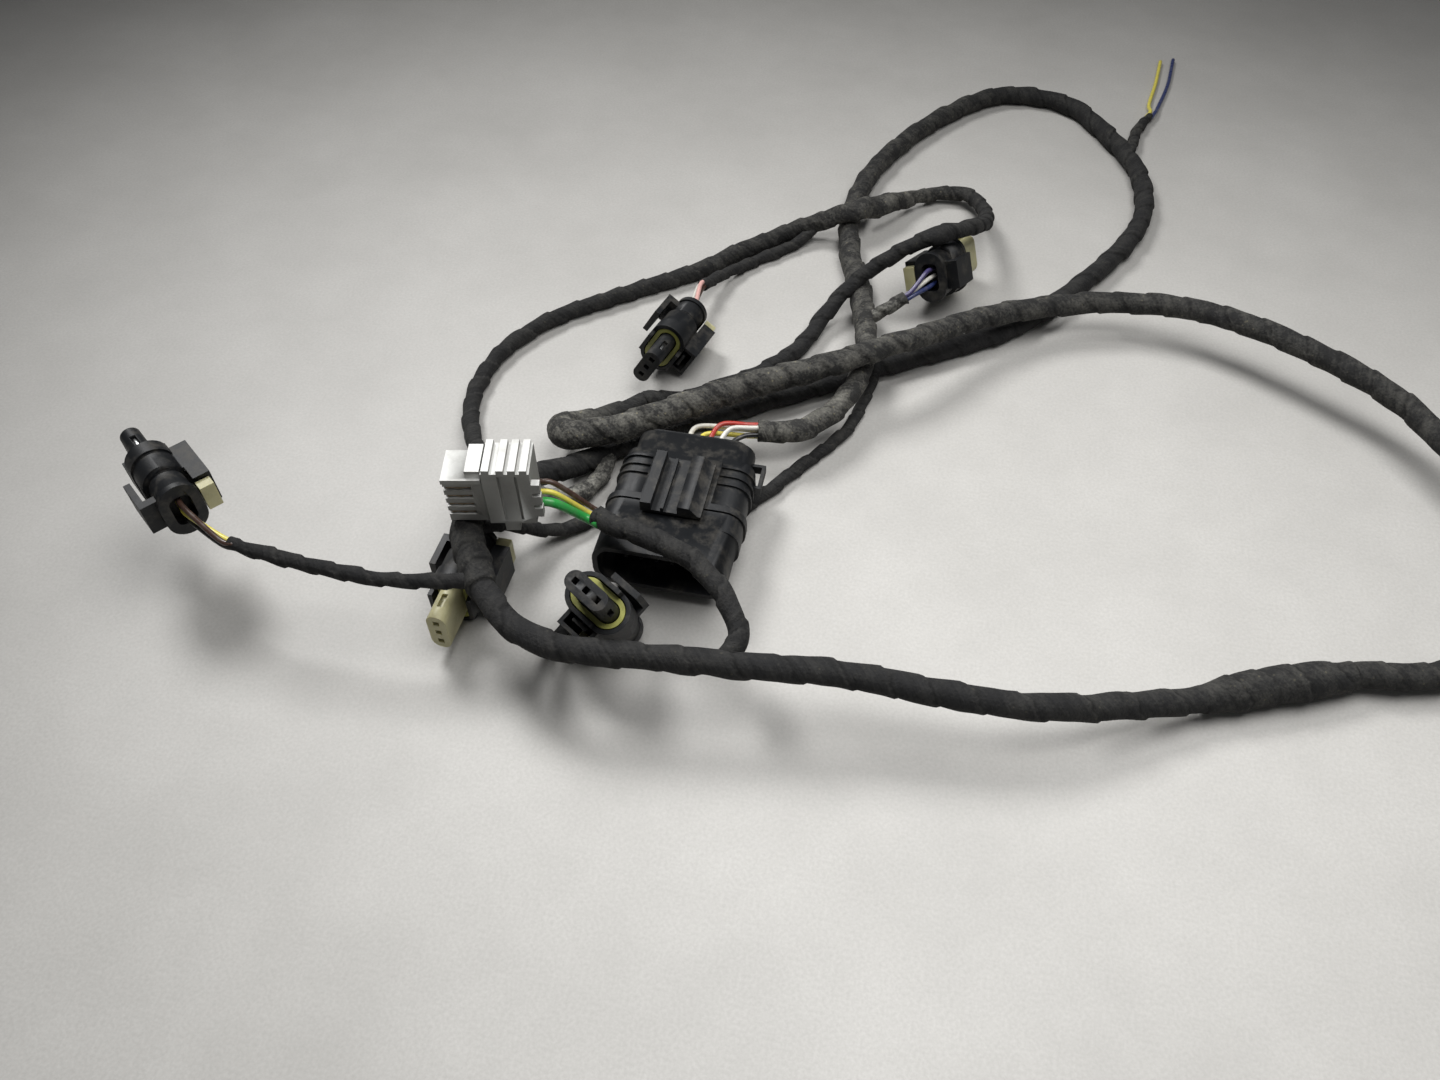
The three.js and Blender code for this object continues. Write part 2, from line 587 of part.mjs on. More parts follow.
function mainCover() {
  const corner = 5.5;
  const rearWidth = COVER_WIDTH - 2 * COVER_REAR_INSET;
  const rearHeight = COVER_HEIGHT - COVER_REAR_INSET;
  const ribs = Array.from({ length: RIB_COUNT }, (_, i) => {
    const start = RIB_START + i * RIB_PITCH;
    const [width, height] = [COVER_WIDTH + 2 * RIB_HEIGHT, COVER_HEIGHT + 2 * RIB_HEIGHT];
    return bar(width, height, corner + RIB_HEIGHT, start, start + RIB_THICKNESS);
  });
  const flange = bar(
    COVER_WIDTH + 2 * FLANGE_HEIGHT, COVER_HEIGHT + 2 * FLANGE_HEIGHT, corner + FLANGE_HEIGHT,
    COVER_LENGTH - FLANGE_LENGTH, COVER_LENGTH,
  );
  const ear = cut(
    block([EAR_START, EAR_START + EAR_LENGTH], [0, COVER_WIDTH / 2 + EAR_REACH], [-EAR_HEIGHT / 2, EAR_HEIGHT / 2]),
    block(
      [EAR_START + EAR_THICKNESS, EAR_START + EAR_LENGTH - EAR_THICKNESS],
      [-MARGIN, COVER_WIDTH / 2 + EAR_REACH - EAR_THICKNESS],
      [-EAR_HEIGHT, EAR_HEIGHT],
    ),
  );
  const outside = union(
    bar(rearWidth - 2 * COVER_CHAMFER, rearHeight - COVER_CHAMFER, corner, 0, COVER_CHAMFER + MARGIN),
    bar(rearWidth, rearHeight, corner, COVER_CHAMFER, COVER_REAR_LENGTH),
    bar(COVER_WIDTH, COVER_HEIGHT, corner, COVER_REAR_LENGTH - MARGIN, COVER_LENGTH),
    ear,
    cut(
      union(flange, ...ribs),
      block([0, COVER_LENGTH + MARGIN], [-PAD_WIDTH / 2, PAD_WIDTH / 2], [0, COVER_HEIGHT]),
    ),
    block([RIB_START - MARGIN, COVER_LENGTH], [-PAD_WIDTH / 2, PAD_WIDTH / 2], [0, padTop]),
  );
  const slotHalf = (MAIN_WIRE_COUNT * MAIN_WIRE_PITCH) / 2;
  return cut(
    outside,
    bar(
      rearWidth - 2 * COVER_WALL, rearHeight - 2 * COVER_WALL, corner - COVER_WALL,
      COVER_WALL, COVER_LENGTH + MARGIN,
    ),
    block(
      [-MARGIN, COVER_WALL + MARGIN],
      [MAIN_WIRE_OFFSET - slotHalf, MAIN_WIRE_OFFSET + slotHalf],
      [-WIRE_SLOT_HEIGHT / 2, WIRE_SLOT_HEIGHT / 2],
    ),
  );
}

function mainHousing() {
  const corner = 6;
  const shroudInside = [FRONT_WIDTH - 2 * FRONT_WALL, FRONT_HEIGHT - 2 * FRONT_WALL];
  return cut(
    union(
      bar(BAND_WIDTH, BAND_HEIGHT, corner, bandStart, frontStart),
      bar(FRONT_WIDTH, FRONT_HEIGHT, corner, frontStart - MARGIN, frontEnd),
    ),
    bar(...shroudInside, corner - FRONT_WALL, frontStart, frontEnd + MARGIN),
    bar(
      blockWidth + 2 * CLEARANCE, blockHeight + 2 * CLEARANCE, corner - FRONT_WALL - BLOCK_SHOULDER,
      bandStart - MARGIN, frontEnd + MARGIN,
    ),
  );
}

function mainContactBlock() {
  const corner = 6 - FRONT_WALL - BLOCK_SHOULDER - CLEARANCE;
  const body = bar(blockWidth, blockHeight, corner, bandStart, blockFront);
  const pins = [];
  for (let column = 0; column < PIN_COLUMNS; column += 1) {
    const y = (column - (PIN_COLUMNS - 1) / 2) * PIN_PITCH;
    for (const z of [-PIN_ROW_OFFSET, PIN_ROW_OFFSET]) {
      pins.push(block(
        [blockFront - MARGIN, blockFront + PIN_LENGTH],
        [y - PIN_SIZE / 2, y + PIN_SIZE / 2],
        [z - PIN_SIZE / 2, z + PIN_SIZE / 2],
      ));
    }
  }
  return union(body, ...pins);
}

function mainFaceSeal() {
  const outer = [FRONT_WIDTH - 2 * FRONT_WALL - 2 * CLEARANCE, FRONT_HEIGHT - 2 * FRONT_WALL - 2 * CLEARANCE];
  const start = frontStart + CLEARANCE;
  return cut(
    bar(...outer, 6 - FRONT_WALL, start, start + FACE_SEAL_LENGTH),
    bar(
      blockWidth + 2 * CLEARANCE, blockHeight + 2 * CLEARANCE, 6 - FRONT_WALL - BLOCK_SHOULDER,
      start - MARGIN, start + FACE_SEAL_LENGTH + MARGIN,
    ),
  );
}

function mainLatchFrame() {
  const base = padTop + CLEARANCE;
  const top = base + FRAME_HEIGHT;
  const half = FRAME_WIDTH / 2;
  const start = RIB_START + 2;
  const end = start + FRAME_LENGTH;
  const ribStart = -half + CENTRE_RIB_OFFSET;
  return union(
    block([start, end], [-half, half], [base, base + FRAME_BASE]),
    block([start, end], [-half, -half + LEFT_RAIL_WIDTH], [base, top]),
    block([start + MARGIN, end], [ribStart, ribStart + CENTRE_RIB_WIDTH], [base, base + CENTRE_RIB_HEIGHT]),
    prism([
      [half - RIGHT_RAIL_WIDTH, base], [half, base],
      [half - RIGHT_RAIL_SLOPE, top], [half - RIGHT_RAIL_WIDTH, top],
    ], start, end),
  );
}

function mainConnector() {
  const group = place(new THREE.Group(), MAIN_CONNECTOR);
  group.add(
    piece('main_cover', mainCover(), 0x1d1e20, 0.6),
    piece('main_housing', mainHousing(), 0x1d1e20, 0.6),
    piece('main_latch_frame', mainLatchFrame(), 0x1d1e20, 0.6),
    piece('main_contact_block', mainContactBlock(), 0x151517, 0.6),
    piece('main_face_seal', mainFaceSeal(), 0x6b2f22, 0.5),
  );
  return group;
}

// Pale connector

function paleSocket() {
  const side = SOCKET_DEPTH / 2;
  const tabs = SOCKET_TAB_STARTS.map((start) => block(
    [start, start + SOCKET_TAB_WIDTH],
    [-side, side],
    [SOCKET_HEIGHT - MARGIN, SOCKET_HEIGHT + SOCKET_TAB_HEIGHT],
  ));
  const grooves = SOCKET_GROOVES.map((start) => block(
    [start, start + SOCKET_GROOVE_WIDTH],
    [side - SOCKET_GROOVE_DEPTH, side + MARGIN],
    [MARGIN, SOCKET_HEIGHT - MARGIN],
  ));
  const funnels = Array.from({ length: FUNNEL_COUNT }, (_, i) => {
    const bottom = FUNNEL_START + (i - 0.5) * FUNNEL_PITCH;
    return block(
      [-FUNNEL_REACH, MARGIN],
      [side - FUNNEL_DEPTH, side],
      [bottom, bottom + FUNNEL_HEIGHT],
    );
  });
  return union(
    cut(block([0, SOCKET_LENGTH], [-side, side], [0, SOCKET_HEIGHT]), ...grooves),
    ...tabs,
    ...funnels,
    block(
      [HANGING_TAB_START, HANGING_TAB_START + HANGING_TAB_WIDTH],
      [side - HANGING_TAB_DEPTH, side],
      [-HANGING_TAB_DROP, MARGIN],
    ),
  );
}

function palePlug() {
  const start = SOCKET_LENGTH + CLEARANCE;
  const side = PLUG_DEPTH / 2;
  const top = PLUG_LIFT + PLUG_HEIGHT;
  const middle = PLUG_LIFT + PLUG_HEIGHT / 2;
  const slots = Array.from({ length: PLUG_SLOT_COUNT }, (_, i) => {
    const z = middle + (i - (PLUG_SLOT_COUNT - 1) / 2) * PLUG_SLOT_PITCH;
    return block(
      [start + PLUG_SLOT_START, start + PLUG_SLOT_START + PLUG_SLOT_LENGTH],
      [side - PLUG_SLOT_DEPTH, side + MARGIN],
      [z - PLUG_SLOT_HEIGHT / 2, z + PLUG_SLOT_HEIGHT / 2],
    );
  });
  return union(
    cut(block([start, start + PLUG_LENGTH], [-side, side], [PLUG_LIFT, top]), ...slots),
    block([start, start + PLUG_LENGTH], [-side, side + PLUG_SHELF_PROUD], [top - MARGIN / 2, top + PLUG_SHELF]),
    block([start, start + PLUG_BLOCK_LENGTH], [-side, side], [top, top + PLUG_SHELF + PLUG_BLOCK_HEIGHT]),
  );
}

function paleConnector() {
  const group = place(new THREE.Group(), PALE_CONNECTOR);
  group.add(
    piece('pale_socket', paleSocket(), 0xd9d9d2, 0.5),
    piece('pale_plug', palePlug(), 0xc9c8c0, 0.5),
  );
  return group;
}

// Bundles

const loopStart = along(TRUNK_ROUTE.at(-1), TRUNK_ROUTE.at(-2), -CLEARANCE);
const LOOP_ROUTE = [loopStart, ...LOOP_ROUTE_AFTER_SEAM];
const upperStart = along(TRUNK_ROUTE[0], TRUNK_ROUTE[1], -CLEARANCE);
const upperLead = along(TRUNK_ROUTE[0], TRUNK_ROUTE[1], -3);
const UPPER_ROUTE = [upperStart, upperLead, ...UPPER_ROUTE_AFTER_FOLD];

const trunk = { route: TRUNK_ROUTE, radius: TRUNK_RADIUS };
const loop = { route: LOOP_ROUTE, radius: LOOP_RADIUS };
const upper = { route: UPPER_ROUTE, radius: UPPER_RADIUS };

// A branch starts or ends inside the bundle that it leaves, and is cut back to its outside.
function branch(name, route, radius, carriers, colour, end = []) {
  const around = carriers.map((carrier) => (
    tube(carrier.route, carrier.radius + CLEARANCE, TRUNK_SIDES)
  ));
  return piece(name, cut(tube([...route, ...end], radius), ...around), colour, 0.9);
}

// Tape wound over a stretch of one or two bundles.
function sleeve(name, route, thickness, bundles, colour) {
  const widest = Math.max(...bundles.map((bundle) => bundle.radius));
  const inside = bundles.map((bundle) => tube(bundle.route, bundle.radius + SLEEVE_GAP, TRUNK_SIDES));
  return piece(name, cut(tube(route, widest + SLEEVE_GAP + thickness, TRUNK_SIDES), ...inside), colour, 0.9);
}

function intoRecess(sensor) {
  const depth = RECESS_DEPTH - CLEARANCE;
  return [pointOn(sensor, -3, 0, 0), pointOn(sensor, depth, 0, 0)];
}

function bundles() {
  const black = 0x232323;
  const grey = 0x4a4a46;
  const thin = THIN_BRANCH_RADIUS;
  const group = new THREE.Group();
  group.add(
    piece('trunk', union(
      tube(TRUNK_ROUTE, TRUNK_RADIUS, TRUNK_SIDES),
      tube(TRUNK_ROUTE.slice(0, THICK_POINTS), THICK_RADIUS, TRUNK_SIDES),
    ), black, 0.9),
    piece('loop_trunk', tube(LOOP_ROUTE, LOOP_RADIUS, TRUNK_SIDES), black, 0.9),
    branch('upper_branch', UPPER_ROUTE, UPPER_RADIUS, [loop], black),
    branch('sensor_a_branch', SENSOR_A_BRANCH_ROUTE, thin, [trunk], black),
    branch('sensor_b_branch', SENSOR_B_BRANCH_ROUTE, thin, [upper], black),
    branch('sensor_c_branch', SENSOR_C_BRANCH_ROUTE, thin, [trunk], black, intoRecess(SENSORS.c)),
    branch('sensor_d_branch', SENSOR_D_BRANCH_ROUTE, SENSOR_D_BRANCH_RADIUS, [loop], grey),
    branch('sensor_e_branch', SENSOR_E_BRANCH_ROUTE, thin, [loop], black, intoRecess(SENSORS.e)),
    branch('lower_branch', LOWER_BRANCH_ROUTE, thin, [loop], black),
    branch('dirty_branch', DIRTY_BRANCH_ROUTE, DIRTY_BRANCH_RADIUS, [loop], grey),
    branch('pale_branch', PALE_BRANCH_ROUTE, WHITE_BRANCH_RADIUS, [trunk], black),
    branch('cut_branch', CUT_BRANCH_ROUTE, thin, [loop], black),
    sleeve(
      'junction_wrap',
      [TRUNK_ROUTE.at(-2), TRUNK_ROUTE.at(-1), ...LOOP_ROUTE.slice(1, 3)],
      WRAP_THICKNESS,
      [trunk, loop, { route: SENSOR_A_BRANCH_ROUTE, radius: THIN_BRANCH_RADIUS },
        { route: LOWER_BRANCH_ROUTE, radius: THIN_BRANCH_RADIUS },
        { route: [...SENSOR_E_BRANCH_ROUTE, ...intoRecess(SENSORS.e)], radius: THIN_BRANCH_RADIUS }],
      black,
    ),
    sleeve('splice_wrap', TRUNK_ROUTE.slice(26, 29), SPLICE_THICKNESS, [trunk], black),
  );
  return group;
}

// Wires

function wire(name, points, colour, radius = WIRE_RADIUS) {
  return piece(name, tube(points, radius, 8, 1), colour, 0.5);
}

// Three wires from the end of a taped branch into the recess of a sensor connector.
function sensorWires(letter, route, middle, colours) {
  const sensor = SENSORS[letter];
  const axisPoint = pointOn(sensor, 0, 0, 0);
  const row = pointOn(sensor, 0, 1, 0).map((value, i) => value - axisPoint[i]);
  const offsets = wireOffsets(route, row, TRIO_ANGLES, WIRE_SPREAD);
  return colours.map(([colourName, colour], i) => {
    const column = (i - 1) * (TERMINAL_PITCH / 1.5);
    const inRow = row.map((value) => value * column);
    const points = [
      shifted(beyondEnd(route, CLEARANCE), offsets[i]),
      shifted(beyondEnd(route, 2.5), offsets[i]),
      ...middle.map((point, k) => (
        shifted(point, between(offsets[i], inRow, (k + 1) / (middle.length + 1)))
      )),
      pointOn(sensor, -2.5, column, 0),
      pointOn(sensor, 1, column, 0),
      pointOn(sensor, RECESS_DEPTH - CLEARANCE, column, 0),
    ];
    return wire(`sensor_${letter}_wire_${colourName}`, points, colour);
  });
}

function mainWires() {
  const colours = [
    ['black', 0x222222], ['white', 0xd8d6cf], ['red', 0xb5342a], ['yellow', 0xd9c22c], ['pale', 0xcfcdc4],
  ];
  const offsets = wireOffsets(LOOP_ROUTE, [0, 1, 0], MAIN_ANGLES, MAIN_WIRE_SPREAD);
  return colours.map(([colourName, colour], i) => {
    const column = wireColumns[i];
    const [x] = pointOn(MAIN_CONNECTOR, 0, column, 0);
    const [, sideways, up] = offsets[i];
    const start = shifted(beyondEnd(LOOP_ROUTE, CLEARANCE), offsets[i]);
    return wire(`main_wire_${colourName}`, [
      start,
      shifted(beyondEnd(LOOP_ROUTE, 2.5), offsets[i]),
      [x + 2.4, beyondEnd(LOOP_ROUTE, 0)[1] - 2 + sideways, start[2] - up * 0.2],
      pointOn(MAIN_CONNECTOR, -4, column, up * 0.5),
      pointOn(MAIN_CONNECTOR, 2, column, up * 0.3),
      pointOn(MAIN_CONNECTOR, COVER_LENGTH / 2, column, 0),
      pointOn(MAIN_CONNECTOR, bandStart - CLEARANCE, column, 0),
    ], colour);
  });
}

function paleWires() {
  const colours = [['green', 0x2f7a3a], ['yellow', 0xd9c22c], ['brown', 0x5a3a22]];
  const reversed = [...PALE_BRANCH_ROUTE].reverse();
  const [near, far] = wireOffsets(reversed, [0, 1, 0], PAIR_ANGLES, PALE_WIRE_SPREAD);
  const offsets = [near, [0, 0, 0], far];
  return colours.map(([colourName, colour], i) => {
    const height = PALE_WIRE_HEIGHTS[i];
    const sideways = (1 - i) * PALE_WIRE_STEP;
    return wire(`pale_wire_${colourName}`, [
      shifted(beyondEnd(reversed, CLEARANCE), offsets[i]),
      shifted(beyondEnd(reversed, 3), offsets[i]),
      pointOn(PALE_CONNECTOR, -5, sideways, height - 1),
      pointOn(PALE_CONNECTOR, -CLEARANCE, sideways, height),
    ], colour, i === 0 ? GREEN_WIRE_RADIUS : WIRE_RADIUS);
  });
}

function cutWires() {
  const ends = [
    ['yellow', 0xc9b23c, [[103.4, 158, 1.2], [107, 178, 1], [110, 200, 1]]],
    ['blue', 0x2a2f3a, [[107.5, 157, 1.2], [112.5, 178, 1], [116, 203, 1]]],
  ];
  const offsets = wireOffsets(CUT_BRANCH_ROUTE, [1, 0, 0], PAIR_ANGLES, WIRE_RADIUS * 1.3);
  return ends.map(([colourName, colour, points], i) => wire(`cut_wire_${colourName}`, [
    shifted(beyondEnd(CUT_BRANCH_ROUTE, CLEARANCE), offsets[i]),
    shifted(beyondEnd(CUT_BRANCH_ROUTE, 4), offsets[i]),
    ...points,
  ], colour));
}

// The whole harness

const harness = new THREE.Group();
harness.name = 'wiring_harness';
harness.add(
  bundles(),
  ...Object.entries(SENSORS).map(([letter, sensor]) => sensorConnector(letter, sensor)),
  mainConnector(),
  paleConnector(),
  ...sensorWires('a', SENSOR_A_BRANCH_ROUTE, [], [
    ['black', 0x222222], ['yellow', 0xd9c22c], ['brown', 0x5a3a22],
  ]),
  ...sensorWires('b', SENSOR_B_BRANCH_ROUTE, [], [
    ['pink', 0xd6a8a0], ['brown', 0x5a3a22], ['white', 0xd8d6cf],
  ]),
  ...sensorWires('d', SENSOR_D_BRANCH_ROUTE, [], [
    ['purple', 0x4a3f6a], ['white', 0xd8d6cf], ['blue', 0x2f3f7a],
  ]),
  ...mainWires(),
  ...paleWires(),
  ...cutWires(),
);

export default harness;
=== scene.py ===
# %% [markdown]
# # A vehicle wiring harness, lying loose on a table
# The real thing is a bunch of taped bundles of wires, with small plastic connectors on the ends of
# its branches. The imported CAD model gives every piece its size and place. This lesson dresses it:
# the taped bundles and the bare wires are modelled again as smooth swept tubes along the same
# routes, and the connectors get softened edges and the finish of moulded plastic.

import math

import bmesh
import bpy
from mathutils import Matrix, Vector, geometry, noise


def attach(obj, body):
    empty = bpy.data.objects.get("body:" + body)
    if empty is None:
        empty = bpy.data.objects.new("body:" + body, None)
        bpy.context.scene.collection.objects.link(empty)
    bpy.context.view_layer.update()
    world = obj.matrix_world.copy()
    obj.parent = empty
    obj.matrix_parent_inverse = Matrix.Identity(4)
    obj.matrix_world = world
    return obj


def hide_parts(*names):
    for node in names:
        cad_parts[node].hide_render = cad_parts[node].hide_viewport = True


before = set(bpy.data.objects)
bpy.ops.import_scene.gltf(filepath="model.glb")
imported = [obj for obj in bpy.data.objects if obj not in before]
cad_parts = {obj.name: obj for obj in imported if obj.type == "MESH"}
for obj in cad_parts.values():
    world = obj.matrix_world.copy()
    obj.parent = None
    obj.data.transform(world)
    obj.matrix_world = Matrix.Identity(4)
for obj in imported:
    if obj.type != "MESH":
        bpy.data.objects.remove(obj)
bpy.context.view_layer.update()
MM = 0.001

# %% [markdown]
# ## Camera
# The photograph was taken by hand, from about 27 cm above the table and a little to the right of
# the harness, looking 50 degrees down. The lens follows from the photo's perspective. It is placed
# first, because everything after it is judged through it.

# %% Camera
CAMERA_PLACE = Vector((0.013, -0.353, 0.267))
CAMERA_HEADING = math.radians(12)
CAMERA_TILT = math.radians(40)
SENSOR_WIDTH = 36
FOCAL_LENGTH = 28.25

scene = bpy.context.scene
camera_data = bpy.data.cameras.new("camera")
camera_data.sensor_width = SENSOR_WIDTH
camera_data.lens = FOCAL_LENGTH
camera = bpy.data.objects.new("camera", camera_data)
camera.matrix_world = (
    Matrix.Translation(CAMERA_PLACE)
    @ Matrix.Rotation(CAMERA_HEADING, 4, "Z")
    @ Matrix.Rotation(CAMERA_TILT, 4, "X")
)
scene.collection.objects.link(camera)
scene.camera = camera
scene.view_settings.view_transform = "Standard"
print("camera at", tuple(CAMERA_PLACE))

# %% [markdown]
# ## Where the bundles run
# Each route is a list of points along the middle of a bundle, in metres. They are
# the same points that the CAD source sweeps, so the dressed bundles lie where the solids are.

# %% Routes
TRUNK_ROUTE = [
    (-0.0705, -0.084, 0.005), (-0.074, -0.0875, 0.0049), (-0.078, -0.0915, 0.0049),
    (-0.083, -0.0955, 0.0051), (-0.0875, -0.0995, 0.0064), (-0.0908, -0.104, 0.009),
    (-0.0905, -0.1095, 0.012), (-0.086, -0.1123, 0.0142), (-0.079, -0.111, 0.0148),
    (-0.072, -0.107, 0.0147), (-0.062, -0.0993, 0.0146), (-0.05, -0.09, 0.0148),
    (-0.033, -0.0795, 0.0165), (-0.013, -0.0705, 0.0195), (0.001, -0.0615, 0.0208),
    (0.017, -0.048, 0.019), (0.037, -0.028, 0.0145), (0.059, -0.014, 0.0122),
    (0.085, -0.007, 0.013), (0.112, -0.01, 0.016), (0.142, -0.026, 0.019), (0.171, -0.047, 0.018),
    (0.19, -0.074, 0.014), (0.2, -0.099, 0.008), (0.193, -0.127, 0.0048), (0.172, -0.144, 0.0053),
    (0.147, -0.15, 0.0056), (0.123, -0.159, 0.0057), (0.106, -0.167, 0.0064),
    (0.092, -0.173, 0.0088), (0.064, -0.184, 0.015), (0.038, -0.188, 0.019),
    (0.012, -0.189, 0.0215), (-0.016, -0.193, 0.023), (-0.041, -0.196, 0.0238),
    (-0.063, -0.198, 0.0243), (-0.077, -0.194, 0.0246), (-0.089, -0.1838, 0.0246),
    (-0.094, -0.176, 0.0246),
]
LOOP_ROUTE = [
    (-0.09415, -0.17574, 0.0246), (-0.0985, -0.1685, 0.0246), (-0.1015, -0.16, 0.0246),
    (-0.101, -0.151, 0.024), (-0.097, -0.141, 0.0216), (-0.091, -0.131, 0.014),
    (-0.084, -0.119, 0.0072), (-0.076, -0.108, 0.0042), (-0.065, -0.097, 0.0038),
    (-0.05, -0.087, 0.0038), (-0.032, -0.074, 0.0038), (-0.014, -0.062, 0.0038),
    (0.005, -0.048, 0.0038), (0.025, -0.035, 0.0038), (0.045, -0.021, 0.0038),
    (0.062, -0.003, 0.0038), (0.075, 0.016, 0.0038), (0.09, 0.042, 0.0038),
    (0.098, 0.068, 0.0038), (0.096, 0.096, 0.0038), (0.085, 0.121, 0.0038),
    (0.068, 0.144, 0.0038), (0.045, 0.149, 0.0038), (0.026, 0.139, 0.0038), (0.004, 0.11, 0.0038),
    (-0.012, 0.074, 0.0038), (-0.017, 0.042, 0.0038), (-0.014, 0.016, 0.0038),
    (-0.008, -0.005, 0.0046), (-0.003, -0.03, 0.0084), (0, -0.051, 0.0118),
    (-0.002, -0.07, 0.0118), (-0.008, -0.084, 0.0115), (-0.017, -0.094, 0.012),
    (-0.029, -0.097, 0.0125),
]
UPPER_ROUTE = [
    (-0.07029, -0.08379, 0.00501), (-0.06838, -0.08188, 0.00506), (-0.06, -0.0785, 0.003),
    (-0.055, -0.076, 0.003), (-0.045, -0.0675, 0.003), (-0.036, -0.06, 0.003),
    (-0.024, -0.043, 0.003), (-0.017, -0.024, 0.0055), (-0.008, -0.011, 0.0118),
    (0.004, -0.0055, 0.0205), (0.015, -0.0035, 0.0275), (0.022, 0.001, 0.0278),
    (0.03, 0.012, 0.024), (0.035, 0.03, 0.0145), (0.0345, 0.049, 0.008), (0.026, 0.063, 0.0048),
    (0.011, 0.06, 0.004), (-0.003, 0.045, 0.0074), (-0.017, 0.031, 0.0109), (-0.03, 0.027, 0.007),
    (-0.039, 0.024, 0.0038), (-0.056, 0.008, 0.003), (-0.068, -0.006, 0.003),
    (-0.091, -0.025, 0.003), (-0.113, -0.044, 0.003), (-0.126, -0.065, 0.003),
    (-0.129, -0.085, 0.003), (-0.126, -0.101, 0.0036), (-0.119, -0.115, 0.007),
    (-0.112, -0.127, 0.012), (-0.109, -0.137, 0.0165), (-0.106, -0.144, 0.0205),
    (-0.1008, -0.15, 0.0239),
]
SENSOR_A_BRANCH_ROUTE = [
    (-0.09, -0.1815, 0.0246), (-0.0955, -0.1832, 0.0248), (-0.104, -0.186, 0.026),
    (-0.114, -0.1884, 0.027), (-0.124, -0.1892, 0.028), (-0.135, -0.1892, 0.029),
    (-0.148, -0.1888, 0.0298), (-0.159, -0.1876, 0.0303),
]
SENSOR_B_BRANCH_ROUTE = [
    (-0.029, 0.0273, 0.0072), (-0.032, 0.0225, 0.004), (-0.038, 0.016, 0.0024),
    (-0.045, 0.009, 0.0021), (-0.0515, 0.002, 0.0023), (-0.057, -0.006, 0.0036),
    (-0.061, -0.0145, 0.006), (-0.0635, -0.0225, 0.0086),
]
SENSOR_C_BRANCH_ROUTE = [
    (-0.072, -0.1963, 0.0245), (-0.0715, -0.1935, 0.017), (-0.071, -0.1895, 0.009),
    (-0.0705, -0.1835, 0.0036), (-0.069, -0.176, 0.0024), (-0.064, -0.169, 0.0024),
]
SENSOR_D_BRANCH_ROUTE = [
    (-0.0035, -0.027, 0.0079), (0, -0.028, 0.0095), (0.005, -0.026, 0.0125), (0.01, -0.0225, 0.015),
]
SENSOR_E_BRANCH_ROUTE = [
    (-0.101, -0.157, 0.0244), (-0.1003, -0.1515, 0.0215), (-0.1003, -0.1486, 0.017),
    (-0.1011, -0.1486, 0.0128), (-0.1008, -0.1518, 0.0105),
]
LOWER_BRANCH_ROUTE = [
    (0.003, -0.05, 0.0038), (0.003, -0.058, 0.0023), (-0.002, -0.08, 0.0021),
    (-0.015, -0.101, 0.0021), (-0.027, -0.119, 0.0021), (-0.04, -0.131, 0.0021),
    (-0.056, -0.134, 0.0021), (-0.07, -0.134, 0.0021), (-0.08, -0.142, 0.0036),
    (-0.086, -0.148, 0.008), (-0.0905, -0.1525, 0.014), (-0.0945, -0.1575, 0.0195),
    (-0.0993, -0.1665, 0.0246),
]
DIRTY_BRANCH_ROUTE = [
    (-0.076, -0.108, 0.0042), (-0.0755, -0.117, 0.0034), (-0.079, -0.127, 0.0045),
    (-0.085, -0.135, 0.009), (-0.091, -0.14, 0.0155), (-0.0955, -0.143, 0.02),
    (-0.0995, -0.147, 0.0232),
]
PALE_BRANCH_ROUTE = [
    (-0.065, -0.154, 0.026), (-0.058, -0.158, 0.028), (-0.048, -0.161, 0.029),
    (-0.035, -0.166, 0.029), (-0.025, -0.174, 0.028), (-0.019, -0.182, 0.026),
    (-0.018, -0.188, 0.0245), (-0.021, -0.1935, 0.0228),
]
CUT_BRANCH_ROUTE = [
    (0.092, 0.106, 0.0038), (0.094, 0.114, 0.003), (0.097, 0.131, 0.0021), (0.103, 0.146, 0.0021),
]
print("routes:", len(TRUNK_ROUTE) + len(LOOP_ROUTE) + len(UPPER_ROUTE), "points in the long ones")

# %% [markdown]
# ## Sweeping a round bundle
# A swept tube is the shape of every cord here. A flat grid is made first, one row for each station
# along the route and one column for each step round it, and is then rolled into a tube. Rolling a
# grid keeps a clean UV map, with metres along the bundle and metres round it, so that a pattern
# follows the bundle wherever it turns.

# %% The smooth curve through a route
RING_SPACING = 1.0 * MM
FINE_STEPS = 12


def centreline(route, spacing=RING_SPACING):
    """Evenly spaced (point, route number) pairs on the smooth curve through a route."""
    points = [Vector(point) for point in route]
    points = [2 * points[0] - points[1], *points, 2 * points[-1] - points[-2]]
    fine = []
    for number, (before, start, end, after) in enumerate(
        zip(points, points[1:], points[2:], points[3:])
    ):
        handles = start + (end - before) / 6, end - (after - start) / 6
        stretch = geometry.interpolate_bezier(start, *handles, end, FINE_STEPS + 1)
        fine += [(point, number + i / FINE_STEPS) for i, point in enumerate(stretch[:-1])]
    fine.append((points[-2], len(route) - 1.0))
    even, walked = [fine[0]], 0.0
    for (point, number), (next_point, next_number) in zip(fine, fine[1:]):
        step = (next_point - point).length
        while walked + step >= spacing * len(even):
            share = (spacing * len(even) - walked) / step
            even.append((point.lerp(next_point, share), number + share * (next_number - number)))
        walked += step
    if (even[-1][0] - fine[-1][0]).length < spacing / 2:
        even.pop()
    return [*even, fine[-1]]


def length_of(route):
    line = centreline(route)
    return sum((b[0] - a[0]).length for a, b in zip(line, line[1:]))


print(f"trunk {length_of(TRUNK_ROUTE):.3f} m, loop {length_of(LOOP_ROUTE):.3f} m")

# %% A value that changes smoothly along a route


